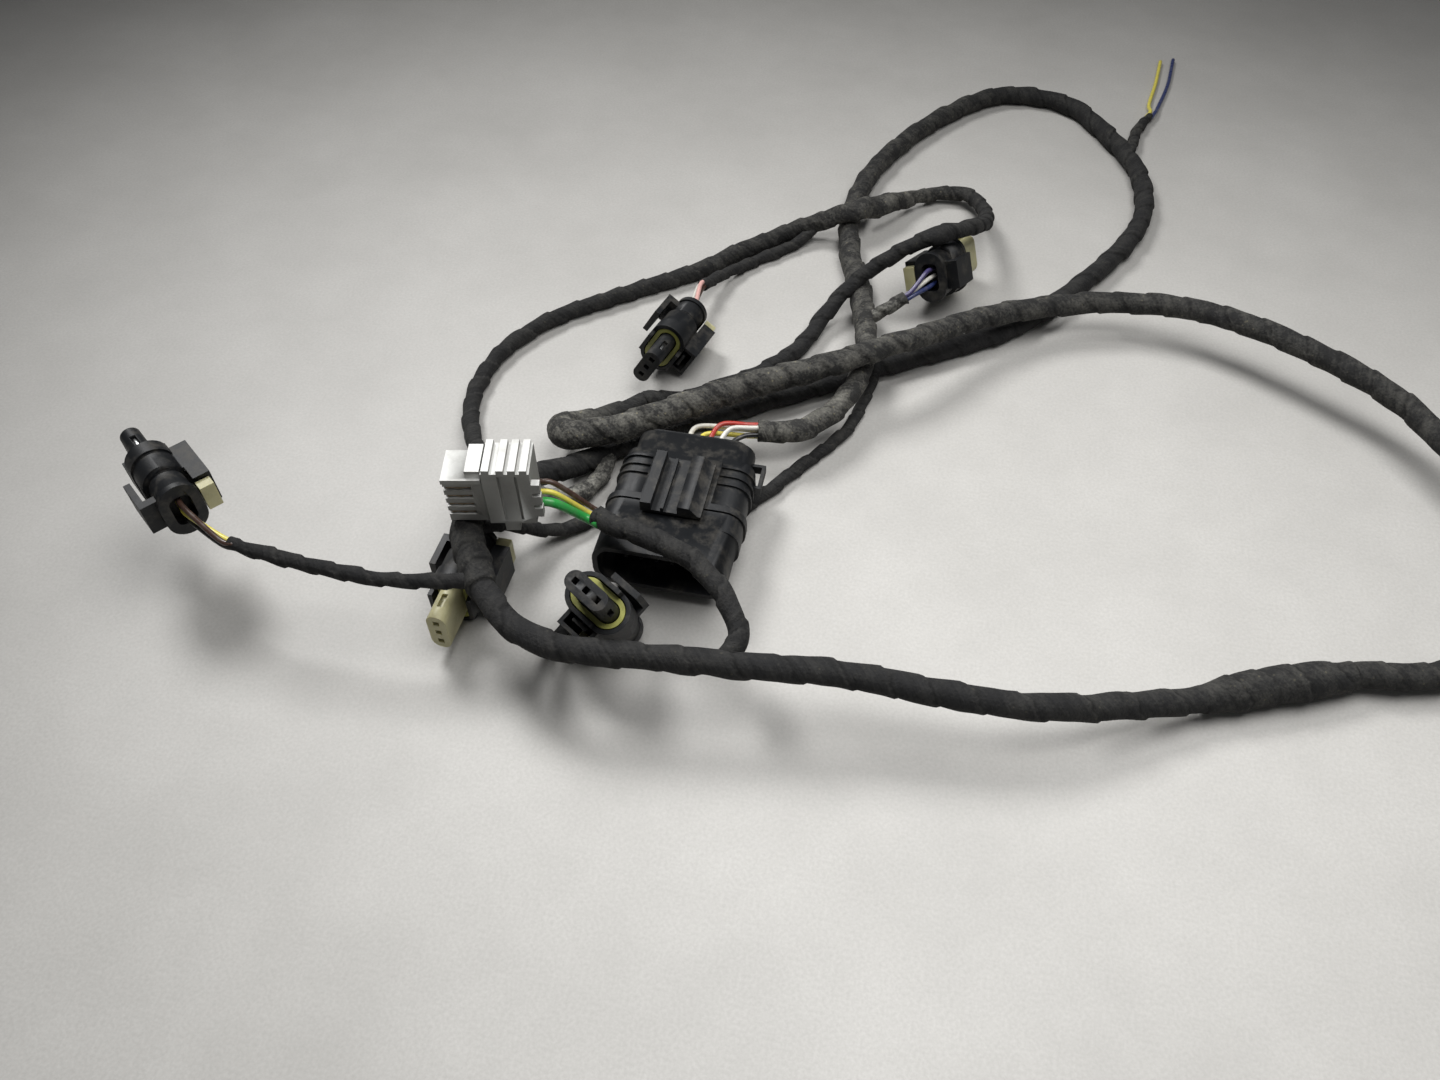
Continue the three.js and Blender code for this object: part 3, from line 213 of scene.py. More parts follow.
def eased(profile, number):
    """The value at a route number, from a list of (route number, value) pairs."""
    if not isinstance(profile, list):
        return profile
    if number <= profile[0][0]:
        return profile[0][1]
    for (start, low), (end, high) in zip(profile, profile[1:]):
        if number <= end:
            share = (number - start) / (end - start)
            return low + (high - low) * share * share * (3 - 2 * share)
    return profile[-1][1]


# %% [markdown]
# ## The lay of the tape
# The bundles are wound with woven cloth tape, half over itself. Each turn ends in a step that
# climbs round the bundle as a spiral. It is drawn two or three tapes high and is real geometry,
# because it breaks the outline of the bundle. Three numbers are kept on each vertex for the
# material: how near it is to a tape edge, how near to the foot of a step, where the material
# paints shade, and how dusty that stretch is.

# %% Roll a grid round a route
TAPE_STEP = 0.62 * MM
EDGE_WIDTH = 0.9 * MM
LAP_DRIFT = 0.8
LAP_WAVER = 0.13
LUMP_HEIGHT = 0.4 * MM
LUMP_SIZE = 7 * MM
SEAM_DISTANCE = 1e-6
TABLE_HEIGHT = 0.0


def tape_lap(station, turn, lap, seed):
    """Where a point lies between two tape edges, from 0 at one edge to 1 at the next."""
    drift = noise.noise(Vector((station / (4 * lap), seed, 0))) * LAP_DRIFT
    around = Vector((math.cos(turn * math.tau), math.sin(turn * math.tau), seed))
    waver = noise.noise(around + Vector((0, 0, station / lap))) * LAP_WAVER
    return (station / lap + drift + waver - turn) % 1


def swept(name, route, radius, sides=28, lap=0.0, step=TAPE_STEP, dirt=0.0, lumps=LUMP_HEIGHT):
    """A closed tube along a route. The sizes are numbers or profiles by route number."""
    line = centreline(route)
    seed = sum(map(ord, name)) % 97
    rings = len(line)
    tube = bmesh.new()
    uv = tube.loops.layers.uv.new("UVMap")
    bmesh.ops.create_grid(tube, x_segments=rings - 1, y_segments=sides, size=1, calc_uvs=True)
    edge_layer = tube.verts.layers.float.new("edge")
    step_foot_shade_layer = tube.verts.layers.float.new("crease")
    dirt_layer = tube.verts.layers.float.new("dirt")

    points = [point for point, number in line]
    tangents = [(b - a).normalized() for a, b in zip(points, points[1:])]
    tangents.append(tangents[-1])
    across = tangents[0].orthogonal().normalized()
    frames = []
    for i, tangent in enumerate(tangents):
        if i:
            across = tangents[i - 1].rotation_difference(tangent) @ across
        frames.append((across.copy(), tangent.cross(across)))

    for vertex in tube.verts:
        i = round((vertex.co.x + 1) / 2 * (rings - 1))
        turn = round((vertex.co.y + 1) / 2 * sides) / sides
        station = i * RING_SPACING
        point, number = line[i]
        size = eased(radius, number)
        side, up = frames[i]
        outward = math.cos(turn * math.tau) * side + math.sin(turn * math.tau) * up
        place = point + outward * size
        size += eased(lumps, number) * noise.noise(place / LUMP_SIZE + Vector((seed, 0, 0)))
        if lap:
            share = tape_lap(station, turn, lap, seed)
            size += eased(step, number) * (0.5 - share)
            vertex[edge_layer] = math.exp(-((share * lap / EDGE_WIDTH) ** 2))
            # This number marks where shade is painted, at the foot of each tape step.
            vertex[step_foot_shade_layer] = math.exp(-(((1 - share) * lap / EDGE_WIDTH) ** 2))
        vertex[dirt_layer] = eased(dirt, number)
        for loop in vertex.link_loops:
            loop[uv].uv = (station, turn * math.tau * eased(radius, number))
        vertex.co = point + outward * size
        # A bundle that rests on the table is pressed flat by it, and doesn't sink in.
        vertex.co.z = max(vertex.co.z, TABLE_HEIGHT)

    bmesh.ops.remove_doubles(tube, verts=tube.verts, dist=SEAM_DISTANCE)
    bmesh.ops.holes_fill(tube, edges=[e for e in tube.edges if e.is_boundary], sides=0)
    bmesh.ops.recalc_face_normals(tube, faces=tube.faces)
    mesh = bpy.data.meshes.new(name)
    tube.to_mesh(mesh)
    tube.free()
    mesh.shade_smooth()
    piece = bpy.data.objects.new(name, mesh)
    scene.collection.objects.link(piece)
    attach(piece, "root")
    return piece


# %% [markdown]
# ## The taped bundles
# The trunk folds back on itself beside the wide connector, where it is widest and greyest with
# dust, and thins out where its branches have left it. A profile pairs a number along the route,
# whose points are counted from 0, with the value there.

# %% Trunk, loop and upper branch
TRUNK_STEP = [(0, 0.5 * MM), (5, 0.85 * MM), (9, 0.9 * MM), (13, 0.7 * MM), (18, 0.55 * MM)]
trunk = swept(
    "trunk_bundle", TRUNK_ROUTE, lap=13 * MM, step=TRUNK_STEP, dirt=[
        (0, 0.15), (2, 0.25), (5, 1.25), (9, 1.2), (12, 0.8), (15, 0.65), (19, 0.4), (27, 0.25),
        (31, 0.12), (38, 0.12),
    ], radius=[
        (0, 3.3 * MM), (3, 4.0 * MM), (5, 4.6 * MM), (11, 4.55 * MM), (14.5, 3.75 * MM),
        (26, 3.8 * MM), (29, 3.65 * MM), (34, 3.6 * MM), (36, 3.7 * MM), (38, 3.9 * MM),
    ],
)
loop = swept(
    "loop_bundle", LOOP_ROUTE, lap=14 * MM, dirt=[
        (0, 0.1), (8, 0.2), (14, 0.1), (22, 0.2), (24, 0.45), (27, 0.6), (30, 0.95), (34, 1.15),
    ], radius=[
        (0, 3.9 * MM), (3, 3.7 * MM), (8, 3.6 * MM), (24, 3.7 * MM), (27, 4.1 * MM),
        (28, 4.3 * MM), (29.5, 3.7 * MM), (34, 3.6 * MM),
    ],
)
upper = swept(
    "upper_bundle", UPPER_ROUTE, lap=10 * MM, dirt=[
        (0, 0.2), (5, 0.1), (14, 0.15), (16.5, 0.8), (18, 0.7), (20, 0.35), (24, 0.15), (32, 0.1),
    ], radius=[
        (0, 3.1 * MM), (2, 2.9 * MM), (9.5, 2.8 * MM), (10.5, 3.5 * MM), (11.5, 2.8 * MM),
        (16.2, 2.8 * MM), (17.2, 3.9 * MM), (18.4, 3.4 * MM), (21.5, 3.3 * MM), (24, 2.7 * MM),
        (32, 2.8 * MM),
    ], lumps=[
        (15.5, LUMP_HEIGHT), (16.6, 1.5 * MM), (18.2, 1.2 * MM), (19.5, LUMP_HEIGHT),
    ],
)
for piece in (trunk, loop, upper):
    print(piece.name, len(piece.data.polygons), "faces")

# %% Thin branches
THIN_LAP = 9 * MM
SHORT_LAP = 7 * MM
branch_a = swept(
    "sensor_a_tape", SENSOR_A_BRANCH_ROUTE, lap=THIN_LAP, dirt=0.1,
    radius=[(0, 2.4 * MM), (2, 2.1 * MM), (5, 2.1 * MM), (7, 1.9 * MM)],
)
branch_b = swept("sensor_b_tape", SENSOR_B_BRANCH_ROUTE, 2.1 * MM, lap=THIN_LAP, dirt=0.15)
branch_c = swept("sensor_c_tape", SENSOR_C_BRANCH_ROUTE, 2.0 * MM, lap=THIN_LAP, dirt=0.1)
branch_d = swept("sensor_d_tape", SENSOR_D_BRANCH_ROUTE, 2.4 * MM, lap=SHORT_LAP, dirt=0.95)
branch_e = swept("sensor_e_tape", SENSOR_E_BRANCH_ROUTE, 2.0 * MM, lap=THIN_LAP, dirt=0.1)
lower = swept("lower_bundle", LOWER_BRANCH_ROUTE, 2.05 * MM, lap=THIN_LAP, dirt=0.2)
dirty = swept("dirty_bundle", DIRTY_BRANCH_ROUTE, 2.75 * MM, lap=8 * MM, dirt=1.2)
pale_branch = swept(
    "pale_bundle", PALE_BRANCH_ROUTE, lap=11 * MM, dirt=0.15,
    radius=[(0, 2.9 * MM), (2, 3.1 * MM), (5, 2.9 * MM), (7, 2.7 * MM)],
)
cut_branch = swept(
    "cut_bundle", CUT_BRANCH_ROUTE, lap=SHORT_LAP, dirt=0.4,
    radius=[(0, 2.2 * MM), (1, 2.0 * MM), (2.2, 2.3 * MM), (3, 1.7 * MM)],
)

# %% Tape over the junction and the splice
JUNCTION_ROUTE = [*TRUNK_ROUTE[-2:], *LOOP_ROUTE[1:3]]
SPLICE_ROUTE = TRUNK_ROUTE[26:29]
junction = swept(
    "junction_tape", JUNCTION_ROUTE, lap=8 * MM, dirt=0.3,
    radius=[(0, 4.3 * MM), (1, 4.8 * MM), (2, 4.8 * MM), (3, 4.2 * MM)],
)
splice = swept(
    "splice_tape", SPLICE_ROUTE, lap=10 * MM, dirt=0.3,
    radius=[(0, 4.1 * MM), (0.6, 5.3 * MM), (1.3, 5.2 * MM), (2, 4.0 * MM)],
)

# %% [markdown]
# ## Connector places
# Wires end in the connectors, so their places are needed next. Each connector has a point at the
# wire end of its axis, a heading, a pitch and a roll, as in the CAD source.

# %% Connector places
CONNECTORS = {
    "sensor_a": ((-0.1758, -0.1804, 0.032), 143, 0, 90),
    "sensor_b": ((-0.0644, -0.0437, 0.0106), -102, 5, -120),
    "sensor_c": ((-0.0554, -0.1741, 0.0052), -100, 67, 158),
    "sensor_d": ((0.0176, -0.0128, 0.0174), 66, -14, -115),
    "sensor_e": ((-0.1006, -0.1583, 0.0103), -91, 0, -90),
    "main": ((-0.046, -0.108, 0.0124), -90, 0, 0),
    "pale": ((-0.0805, -0.1568, 0.0296), 192, 0, 0),
}


def on(connector, x, y, z):
    """A point in millimetres along, across and up a connector, in the frame of the harness."""
    rear, heading, pitch, roll = CONNECTORS[connector]
    turn = (
        Matrix.Rotation(math.radians(heading), 3, "Z")
        @ Matrix.Rotation(math.radians(-pitch), 3, "Y")
        @ Matrix.Rotation(math.radians(roll), 3, "X")
    )
    return Vector(rear) + turn @ Vector((x, y, z)) * MM


print("tip of the outlying sensor connector:", on("sensor_a", 33, 0, 0))

# %% [markdown]
# ## Bare wires
# Out of the tape come single wires, each a stranded copper core in a thin coat of glossy vinyl.
# They are the same swept tubes, without laps. They fan out from the end of the tape and bend
# into their places in the connector.

# %% Wires
WIRE_RADIUS = 0.8 * MM
WIRE_SIDES = 14
TERMINAL_PITCH = 2.67
RECESS_DEPTH = 4.3


def wire(name, points, radius=WIRE_RADIUS):
    return swept(name, points, radius, sides=WIRE_SIDES, lumps=0)


def fan(route, row, angles, spread):
    """Where wires leave the end of a taped branch: offsets round its middle."""
    forward = (Vector(route[-1]) - Vector(route[-2])).normalized()
    across = (row - forward * row.dot(forward)).normalized()
    up = forward.cross(across)
    return forward, [
        (across * math.cos(math.radians(angle)) + up * math.sin(math.radians(angle))) * spread
        for angle in angles
    ]


TRIANGLE = (210, 90, -30)


def sensor_wires(letter, route, colours):
    """Three wires from a branch into the recess at the back of a sensor connector."""
    sensor = f"sensor_{letter}"
    row = on(sensor, 0, 1, 0) - on(sensor, 0, 0, 0)
    forward, offsets = fan(route, row, TRIANGLE, 1.0 * MM)
    made = []
    for colour, offset, column in zip(colours, offsets, (-1, 0, 1)):
        start = Vector(route[-1]) + offset
        points = [
            start - forward * 2 * MM, start + forward * 2.5 * MM,
            *(on(sensor, x, column * TERMINAL_PITCH, 0) for x in (-2.5, 1, RECESS_DEPTH)),
        ]
        made.append(wire(f"{sensor}_lead_{colour}", points))
        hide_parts(f"{sensor}_wire_{colour}")
    return made


wires_a = sensor_wires("a", SENSOR_A_BRANCH_ROUTE, ("black", "yellow", "brown"))
wires_b = sensor_wires("b", SENSOR_B_BRANCH_ROUTE, ("pink", "brown", "white"))
wires_d = sensor_wires("d", SENSOR_D_BRANCH_ROUTE, ("purple", "white", "blue"))
print("sensor wires:", len(wires_a + wires_b + wires_d))

# %% Wires of the wide connector
MAIN_COLUMNS = {"black": 10, "white": 6.5, "red": 3, "yellow": -0.5, "pale": -4}
PENTAGON = (180, 252, 324, 108, 36)
forward, offsets = fan(LOOP_ROUTE, Vector((0, 1, 0)), PENTAGON, 1.9 * MM)
wires_main = []
for (colour, column), offset in zip(MAIN_COLUMNS.items(), offsets):
    start = Vector(LOOP_ROUTE[-1]) + offset
    entry = on("main", -4, column, offset.z / MM * 0.5)
    bend = Vector((entry.x + 2.4 * MM, LOOP_ROUTE[-1][1] - 2 * MM + offset.y, start.z))
    points = [
        start - forward * 3 * MM, start + forward * 2.5 * MM, bend, entry,
        on("main", 2, column, offset.z / MM * 0.3), on("main", 12, column, 0),
        on("main", 32, column, 0),
    ]
    piece = wire(f"main_lead_{colour}", points)
    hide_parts(f"main_wire_{colour}")
    wires_main.append(piece)

# %% Wires of the pale connector
PALE_WIRES = {"green": (2.3, 5.0, 1.35 * MM), "yellow": (0, 6.5, WIRE_RADIUS),
              "brown": (-2.3, 8.0, WIRE_RADIUS)}
pale_end = PALE_BRANCH_ROUTE[::-1]
forward, (near, far) = fan(pale_end, Vector((0, 1, 0)), (180, 0), 1.9 * MM)
wires_pale = []
for (colour, (sideways, height, size)), offset in zip(
    PALE_WIRES.items(), (near, Vector((0, 0, 0)), far)
):
    start = Vector(pale_end[-1]) + offset
    points = [
        start - forward * 3 * MM, start + forward * 3 * MM,
        on("pale", -5, sideways, height - 1), on("pale", -0.1, sideways, height),
    ]
    piece = wire(f"pale_lead_{colour}", points, size)
    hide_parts(f"pale_wire_{colour}")
    wires_pale.append(piece)

# %% The two cut wires
CUT_WIRES = {
    "yellow": [(0.1034, 0.158, 0.0012), (0.107, 0.178, 0.001), (0.11, 0.2, 0.001)],
    "blue": [(0.1075, 0.157, 0.0012), (0.1125, 0.178, 0.001), (0.116, 0.203, 0.001)],
}
forward, offsets = fan(CUT_BRANCH_ROUTE, Vector((1, 0, 0)), (180, 0), 1.04 * MM)
wires_cut = []
for (colour, rest), offset in zip(CUT_WIRES.items(), offsets):
    start = Vector(CUT_BRANCH_ROUTE[-1]) + offset
    piece = wire(f"cut_lead_{colour}", [start - forward * 2 * MM, start + forward * 4 * MM, *rest])
    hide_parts(f"cut_wire_{colour}")
    wires_cut.append(piece)

# %% [markdown]
# ## Moulded pieces
# The connectors are mouldings, and a moulding has no sharp edge. Each CAD solid is copied, its
# loose triangles are merged and the flat ones joined. The copy then stands for the CAD node, and
# its material shades the edges as rounded by EDGE_ROUNDING.

# %% Copy the connector pieces
EDGE_ROUNDING = 0.22 * MM
SMOOTH_ANGLE = math.radians(35)
FLAT_ANGLE = math.radians(1)
WELD_DISTANCE = 2e-6
MOULDINGS = {
    "moulded_black": [
        *(f"sensor_{k}_housing" for k in "abcde"), *(f"sensor_{k}_insert" for k in "abc"),
        "main_cover", "main_housing", "main_latch_frame", "main_contact_block",
    ],
    "natural_nylon": [*(f"sensor_{k}_lock" for k in "abcde"), "sensor_d_insert", "sensor_e_insert"],
    "pale_plastic": ["pale_socket", "pale_plug"],
    "silicone_seal": [f"sensor_{k}_seal" for k in "abcde"],
    "red_seal": ["main_face_seal"],
}


def moulding(node):
    shell = bmesh.new()
    shell.from_mesh(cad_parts[node].data)
    bmesh.ops.remove_doubles(shell, verts=shell.verts, dist=WELD_DISTANCE)
    bmesh.ops.dissolve_limit(
        shell, angle_limit=FLAT_ANGLE, verts=shell.verts, edges=shell.edges
    )
    mesh = bpy.data.meshes.new(f"{node}_moulding")
    shell.to_mesh(mesh)
    shell.free()
    mesh.shade_smooth()
    mesh.set_sharp_from_angle(angle=SMOOTH_ANGLE)
    piece = bpy.data.objects.new(f"{node}_moulding", mesh)
    scene.collection.objects.link(piece)
    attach(piece, "root")
    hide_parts(node)
    return piece


mouldings = {
    node: moulding(node) for slot, nodes in MOULDINGS.items() for node in nodes
}
print(len(mouldings), "mouldings")

# %% [markdown]
# ## Small metal parts that show
# In the four slots of the pale plug lie wavy brass contacts, tarnished brown, in front of a
# near-black block of painted shade. In the key slots of two sensor connectors a tin-plated
# terminal glints.

# %% Contacts
def strip(name, connector, centre, size, rounding=0.12):
    """A small block with rounded edges, in millimetres in a connector's own frame."""
    part = bmesh.new()
    bmesh.ops.create_cube(part, size=1)
    bmesh.ops.scale(part, vec=Vector(size), verts=part.verts)
    bmesh.ops.bevel(part, geom=part.edges, offset=rounding, segments=2, profile=0.5,
                    affect="EDGES", material=-1)
    for vertex in part.verts:
        vertex.co = on(connector, *(Vector(centre) + vertex.co))
    bmesh.ops.recalc_face_normals(part, faces=part.faces)
    mesh = bpy.data.meshes.new(name)
    part.to_mesh(mesh)
    part.free()
    mesh.shade_smooth()
    mesh.set_sharp_from_angle(angle=SMOOTH_ANGLE)
    piece = bpy.data.objects.new(name, mesh)
    scene.collection.objects.link(piece)
    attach(piece, "root")
    return piece


PLUG_MIDDLE = 8.4
SLOT_PITCH = 3.2
SLOT_CENTRE = (20.3, 1.4)
SLOT_SHADE_SIZE = (7.8, 4.8, 1.44)
CONTACT_DEPTH = 4.55
CONTACT_RADIUS = 0.42 * MM
SLOT_HEIGHTS = [PLUG_MIDDLE + (i - 1.5) * SLOT_PITCH for i in range(4)]
WAVE = ((16.7, 0), (18.2, 0.24), (19.8, -0.22), (21.4, 0.24), (23.2, -0.1))
plug_contacts = [
    wire(f"plug_contact_{i + 1}",
         [on("pale", x, CONTACT_DEPTH, middle + rise) for x, rise in WAVE], CONTACT_RADIUS)
    for i, middle in enumerate(SLOT_HEIGHTS)
]
# Near-black blocks fill the back of each slot as painted shade.
slot_shade_blocks = [
    strip(f"plug_slot_core_{i + 1}", "pale", (*SLOT_CENTRE, middle), SLOT_SHADE_SIZE)
    for i, middle in enumerate(SLOT_HEIGHTS)
]
TERMINAL_PLACES = {"left": (27, 5.9, 0), "right": (27, -5.9, 0)}
TERMINAL_SIZE = (3.6, 0.5, 0.8)
terminals = [
    strip(f"sensor_{letter}_key_terminal_{side}", f"sensor_{letter}", centre, TERMINAL_SIZE)
    for letter in "ab" for side, centre in TERMINAL_PLACES.items()
]
print(len(plug_contacts + terminals), "contacts")

# %% [markdown]
# ## The taped bundles and their CAD solids
# Each dressed bundle is listed with the CAD node that it dresses, and that node is hidden. The
# harness has no case that they leave, so each one's exit is the end that meets another bundle.

TAPED = {
    "trunk": trunk, "loop_trunk": loop, "upper_branch": upper, "sensor_a_branch": branch_a,
    "sensor_b_branch": branch_b, "sensor_c_branch": branch_c, "sensor_d_branch": branch_d,
    "sensor_e_branch": branch_e, "lower_branch": lower, "dirty_branch": dirty,
    "pale_branch": pale_branch, "cut_branch": cut_branch, "junction_wrap": junction,
    "splice_wrap": splice,
}
DUSTY = ("sensor_d_branch", "dirty_branch")
for node, piece in TAPED.items():
    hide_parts(node)


# %% [markdown]
# ## Materials
# Every finish is made of shader nodes. One helper adds a node, sets it up and fills its inputs,
# and one turns a colour as a paint program shows it into the linear values that Blender uses.

# %% Helpers for materials


def linear(hex_colour):
    """An sRGB hex colour as linear red, green, blue and alpha."""
    parts = [int(hex_colour[i:i + 2], 16) / 255 for i in (1, 3, 5)]
    return (*(c / 12.92 if c <= 0.04045 else ((c + 0.055) / 1.055) ** 2.4 for c in parts), 1)


def add(material, kind, inputs=None, **settings):
    """Adds a node and fills each named input with a value or with another node's output."""
    tree = material.node_tree
    node = tree.nodes.new(kind)
    for name, value in settings.items():
        setattr(node, name, value)
    for name, value in (inputs or {}).items():
        if isinstance(value, bpy.types.NodeSocket):
            tree.links.new(value, node.inputs[name])
        else:
            node.inputs[name].default_value = value
    return node


def new_material(name, **surface):
    """A material with only its surface shader, whose inputs are given by name."""
    material = bpy.data.materials.new(name)
    material.use_nodes = True
    material.node_tree.nodes.clear()
    shader = add(material, "ShaderNodeBsdfPrincipled",
                 {key.replace("_", " "): value for key, value in surface.items()})
    add(material, "ShaderNodeOutputMaterial", {"Surface": shader.outputs["BSDF"]})
    return material, shader


def join(material, value, socket):
    material.node_tree.links.new(value, socket)


# %% [markdown]
# ### Cloth tape
# Polyester cloth tape is a dull woven ribbon. Its threads are about 0.3 mm apart, too fine to
# show, so they are drawn 0.6 mm apart. Dust lies in it in patches, more where the bundle's dirt
# number is high, and the cut edges of the tape are a little paler where their threads fray. Shade
# is painted into the foot of each step.

# %% Cloth tape
THREAD_SPACING = 0.6 * MM
DUST_PATCH = 6 * MM
DUST_GRAIN = 0.8 * MM
WRINKLE_WIDTH = 1.6 * MM
WRINKLE_LENGTH = 12 * MM
LAP_SLANT = math.radians(-30)
FLECK_SPACING = 2.4 * MM
FRAY_SHARE = 0.35
FOOT_SHADE_SHARE = 0.75


def cloth_tape(name, black, dust_colour, fleck_colour):
    material, shader = new_material(name, Roughness=0.86, IOR=1.5, Specular_IOR_Level=0.3)
    place = add(material, "ShaderNodeTexCoord").outputs["Object"]
    along = add(material, "ShaderNodeUVMap", uv_map="UVMap").outputs["UV"]
    edge = add(material, "ShaderNodeAttribute", attribute_name="edge").outputs["Fac"]
    crease = add(material, "ShaderNodeAttribute", attribute_name="crease").outputs["Fac"]
    dirt = add(material, "ShaderNodeAttribute", attribute_name="dirt").outputs["Fac"]
    patches = add(material, "ShaderNodeTexNoise", {
        "Vector": place, "Scale": 1 / DUST_PATCH, "Detail": 5, "Roughness": 0.62,
    }).outputs["Fac"]
    grain = add(material, "ShaderNodeTexNoise", {
        "Vector": place, "Scale": 1 / DUST_GRAIN, "Detail": 3, "Roughness": 0.6,
    }).outputs["Fac"]
    threads = [
        add(material, "ShaderNodeTexWave", {
            "Vector": along, "Scale": 1 / THREAD_SPACING / math.tau, "Distortion": 0.6,
            "Detail": 1,
        }, wave_type="BANDS", bands_direction=direction).outputs["Fac"]
        for direction in "XY"
    ]
    weave = add(material, "ShaderNodeMath", {0: threads[0], 1: threads[1]}, operation="MAXIMUM")
    # Wrinkles run along the tape, which climbs round the bundle at a slant.
    slanted = add(material, "ShaderNodeMapping", {
        "Vector": along, "Rotation": (0, 0, LAP_SLANT),
        "Scale": (WRINKLE_WIDTH, WRINKLE_LENGTH, 1),
    }, vector_type="TEXTURE").outputs["Vector"]
    wrinkles = add(material, "ShaderNodeTexNoise", {
        "Vector": slanted, "Scale": 1.0, "Detail": 3, "Roughness": 0.55,
    }).outputs["Fac"]
    # Dust: patches, broken up by the grain and drawn out into streaks along the wrinkles.
    broken = add(material, "ShaderNodeMath", {0: grain, 1: 0.55, 2: patches},
                 operation="MULTIPLY_ADD").outputs[0]
    streaked = add(material, "ShaderNodeMath", {0: wrinkles, 1: 0.36, 2: broken},
                   operation="MULTIPLY_ADD").outputs[0]
    reach = add(material, "ShaderNodeMapRange", {
        "Value": streaked, "From Min": 0.86, "From Max": 1.28, "To Min": 0.0, "To Max": 1.0,
    }).outputs["Result"]
    level = add(material, "ShaderNodeMath", {0: reach, 1: 0.9, 2: 0.08},
                operation="MULTIPLY_ADD").outputs[0]
    dust = add(material, "ShaderNodeMath", {0: level, 1: dirt},
               operation="MULTIPLY", use_clamp=True).outputs[0]
    bare = add(material, "ShaderNodeMix", {
        "Factor": wrinkles, "A": linear(black), "B": linear("#262627"),
    }, data_type="RGBA").outputs[2]
    frayed = add(material, "ShaderNodeMath", {0: edge, 1: patches}, operation="MULTIPLY")
    edged = add(material, "ShaderNodeMix", {
        "Factor": add(material, "ShaderNodeMath", {0: frayed.outputs[0], 1: FRAY_SHARE},
                      operation="MULTIPLY").outputs[0],
        "A": bare, "B": linear("#4c4a47"),
    }, data_type="RGBA").outputs[2]
    dusty = add(material, "ShaderNodeMix", {
        "Factor": dust, "A": edged, "B": linear(dust_colour),
    }, data_type="RGBA").outputs[2]
    flecks = add(material, "ShaderNodeTexVoronoi", {
        "Vector": place, "Scale": 1 / FLECK_SPACING, "Randomness": 1.0,
    }).outputs["Distance"]
    fleck = add(material, "ShaderNodeMapRange", {
        "Value": flecks, "From Min": 0.10, "From Max": 0.16, "To Min": 0.8, "To Max": 0.0,
    }).outputs["Result"]
    speckled = add(material, "ShaderNodeMix", {
        "Factor": add(material, "ShaderNodeMath", {0: fleck, 1: dust},
                      operation="MULTIPLY", use_clamp=True).outputs[0],
        "A": dusty, "B": linear(fleck_colour),
    }, data_type="RGBA").outputs[2]
    # Painted shade: the foot of each tape step is darkened towards near-black.
    foot_shaded = add(material, "ShaderNodeMix", {
        "Factor": add(material, "ShaderNodeMath", {0: crease, 1: FOOT_SHADE_SHARE},
                      operation="MULTIPLY").outputs[0],
        "A": speckled, "B": linear("#0c0c0c"),
    }, data_type="RGBA").outputs[2]
    join(material, foot_shaded, shader.inputs["Base Color"])
    cloth = add(material, "ShaderNodeMath", {0: weave.outputs[0], 1: 0.12, 2: grain},
                operation="MULTIPLY_ADD").outputs[0]
    height = add(material, "ShaderNodeMath", {0: wrinkles, 1: 1.8, 2: cloth},
                 operation="MULTIPLY_ADD").outputs[0]
    bump = add(material, "ShaderNodeBump", {
        "Strength": 0.8, "Distance": 0.35 * MM, "Height": height,
    })
    join(material, bump.outputs["Normal"], shader.inputs["Normal"])
    return material


black_tape = cloth_tape("black_polyester_cloth_tape", "#0e0e0f", "#74726b", "#9a9274")
dusty_tape = cloth_tape("dusty_polyester_cloth_tape", "#232221", "#95938b", "#b5ae98")
for node, piece in TAPED.items():
    piece.data.materials.append(dusty_tape if node in DUSTY else black_tape)

# %% [markdown]
# ### Moulded plastics
# The connector shells are glass-filled nylon, moulded against a finely sparked steel tool: dark,
# with a soft satin gloss, a fine grain and grey-brown dust in patches. Undyed nylon is a milky
# yellow that lets a little light through. The two-part connector is off-white polyester.

# %% Moulded plastics
GRAIN_SIZE = 0.45 * MM
SCUFF_SIZE = 6 * MM


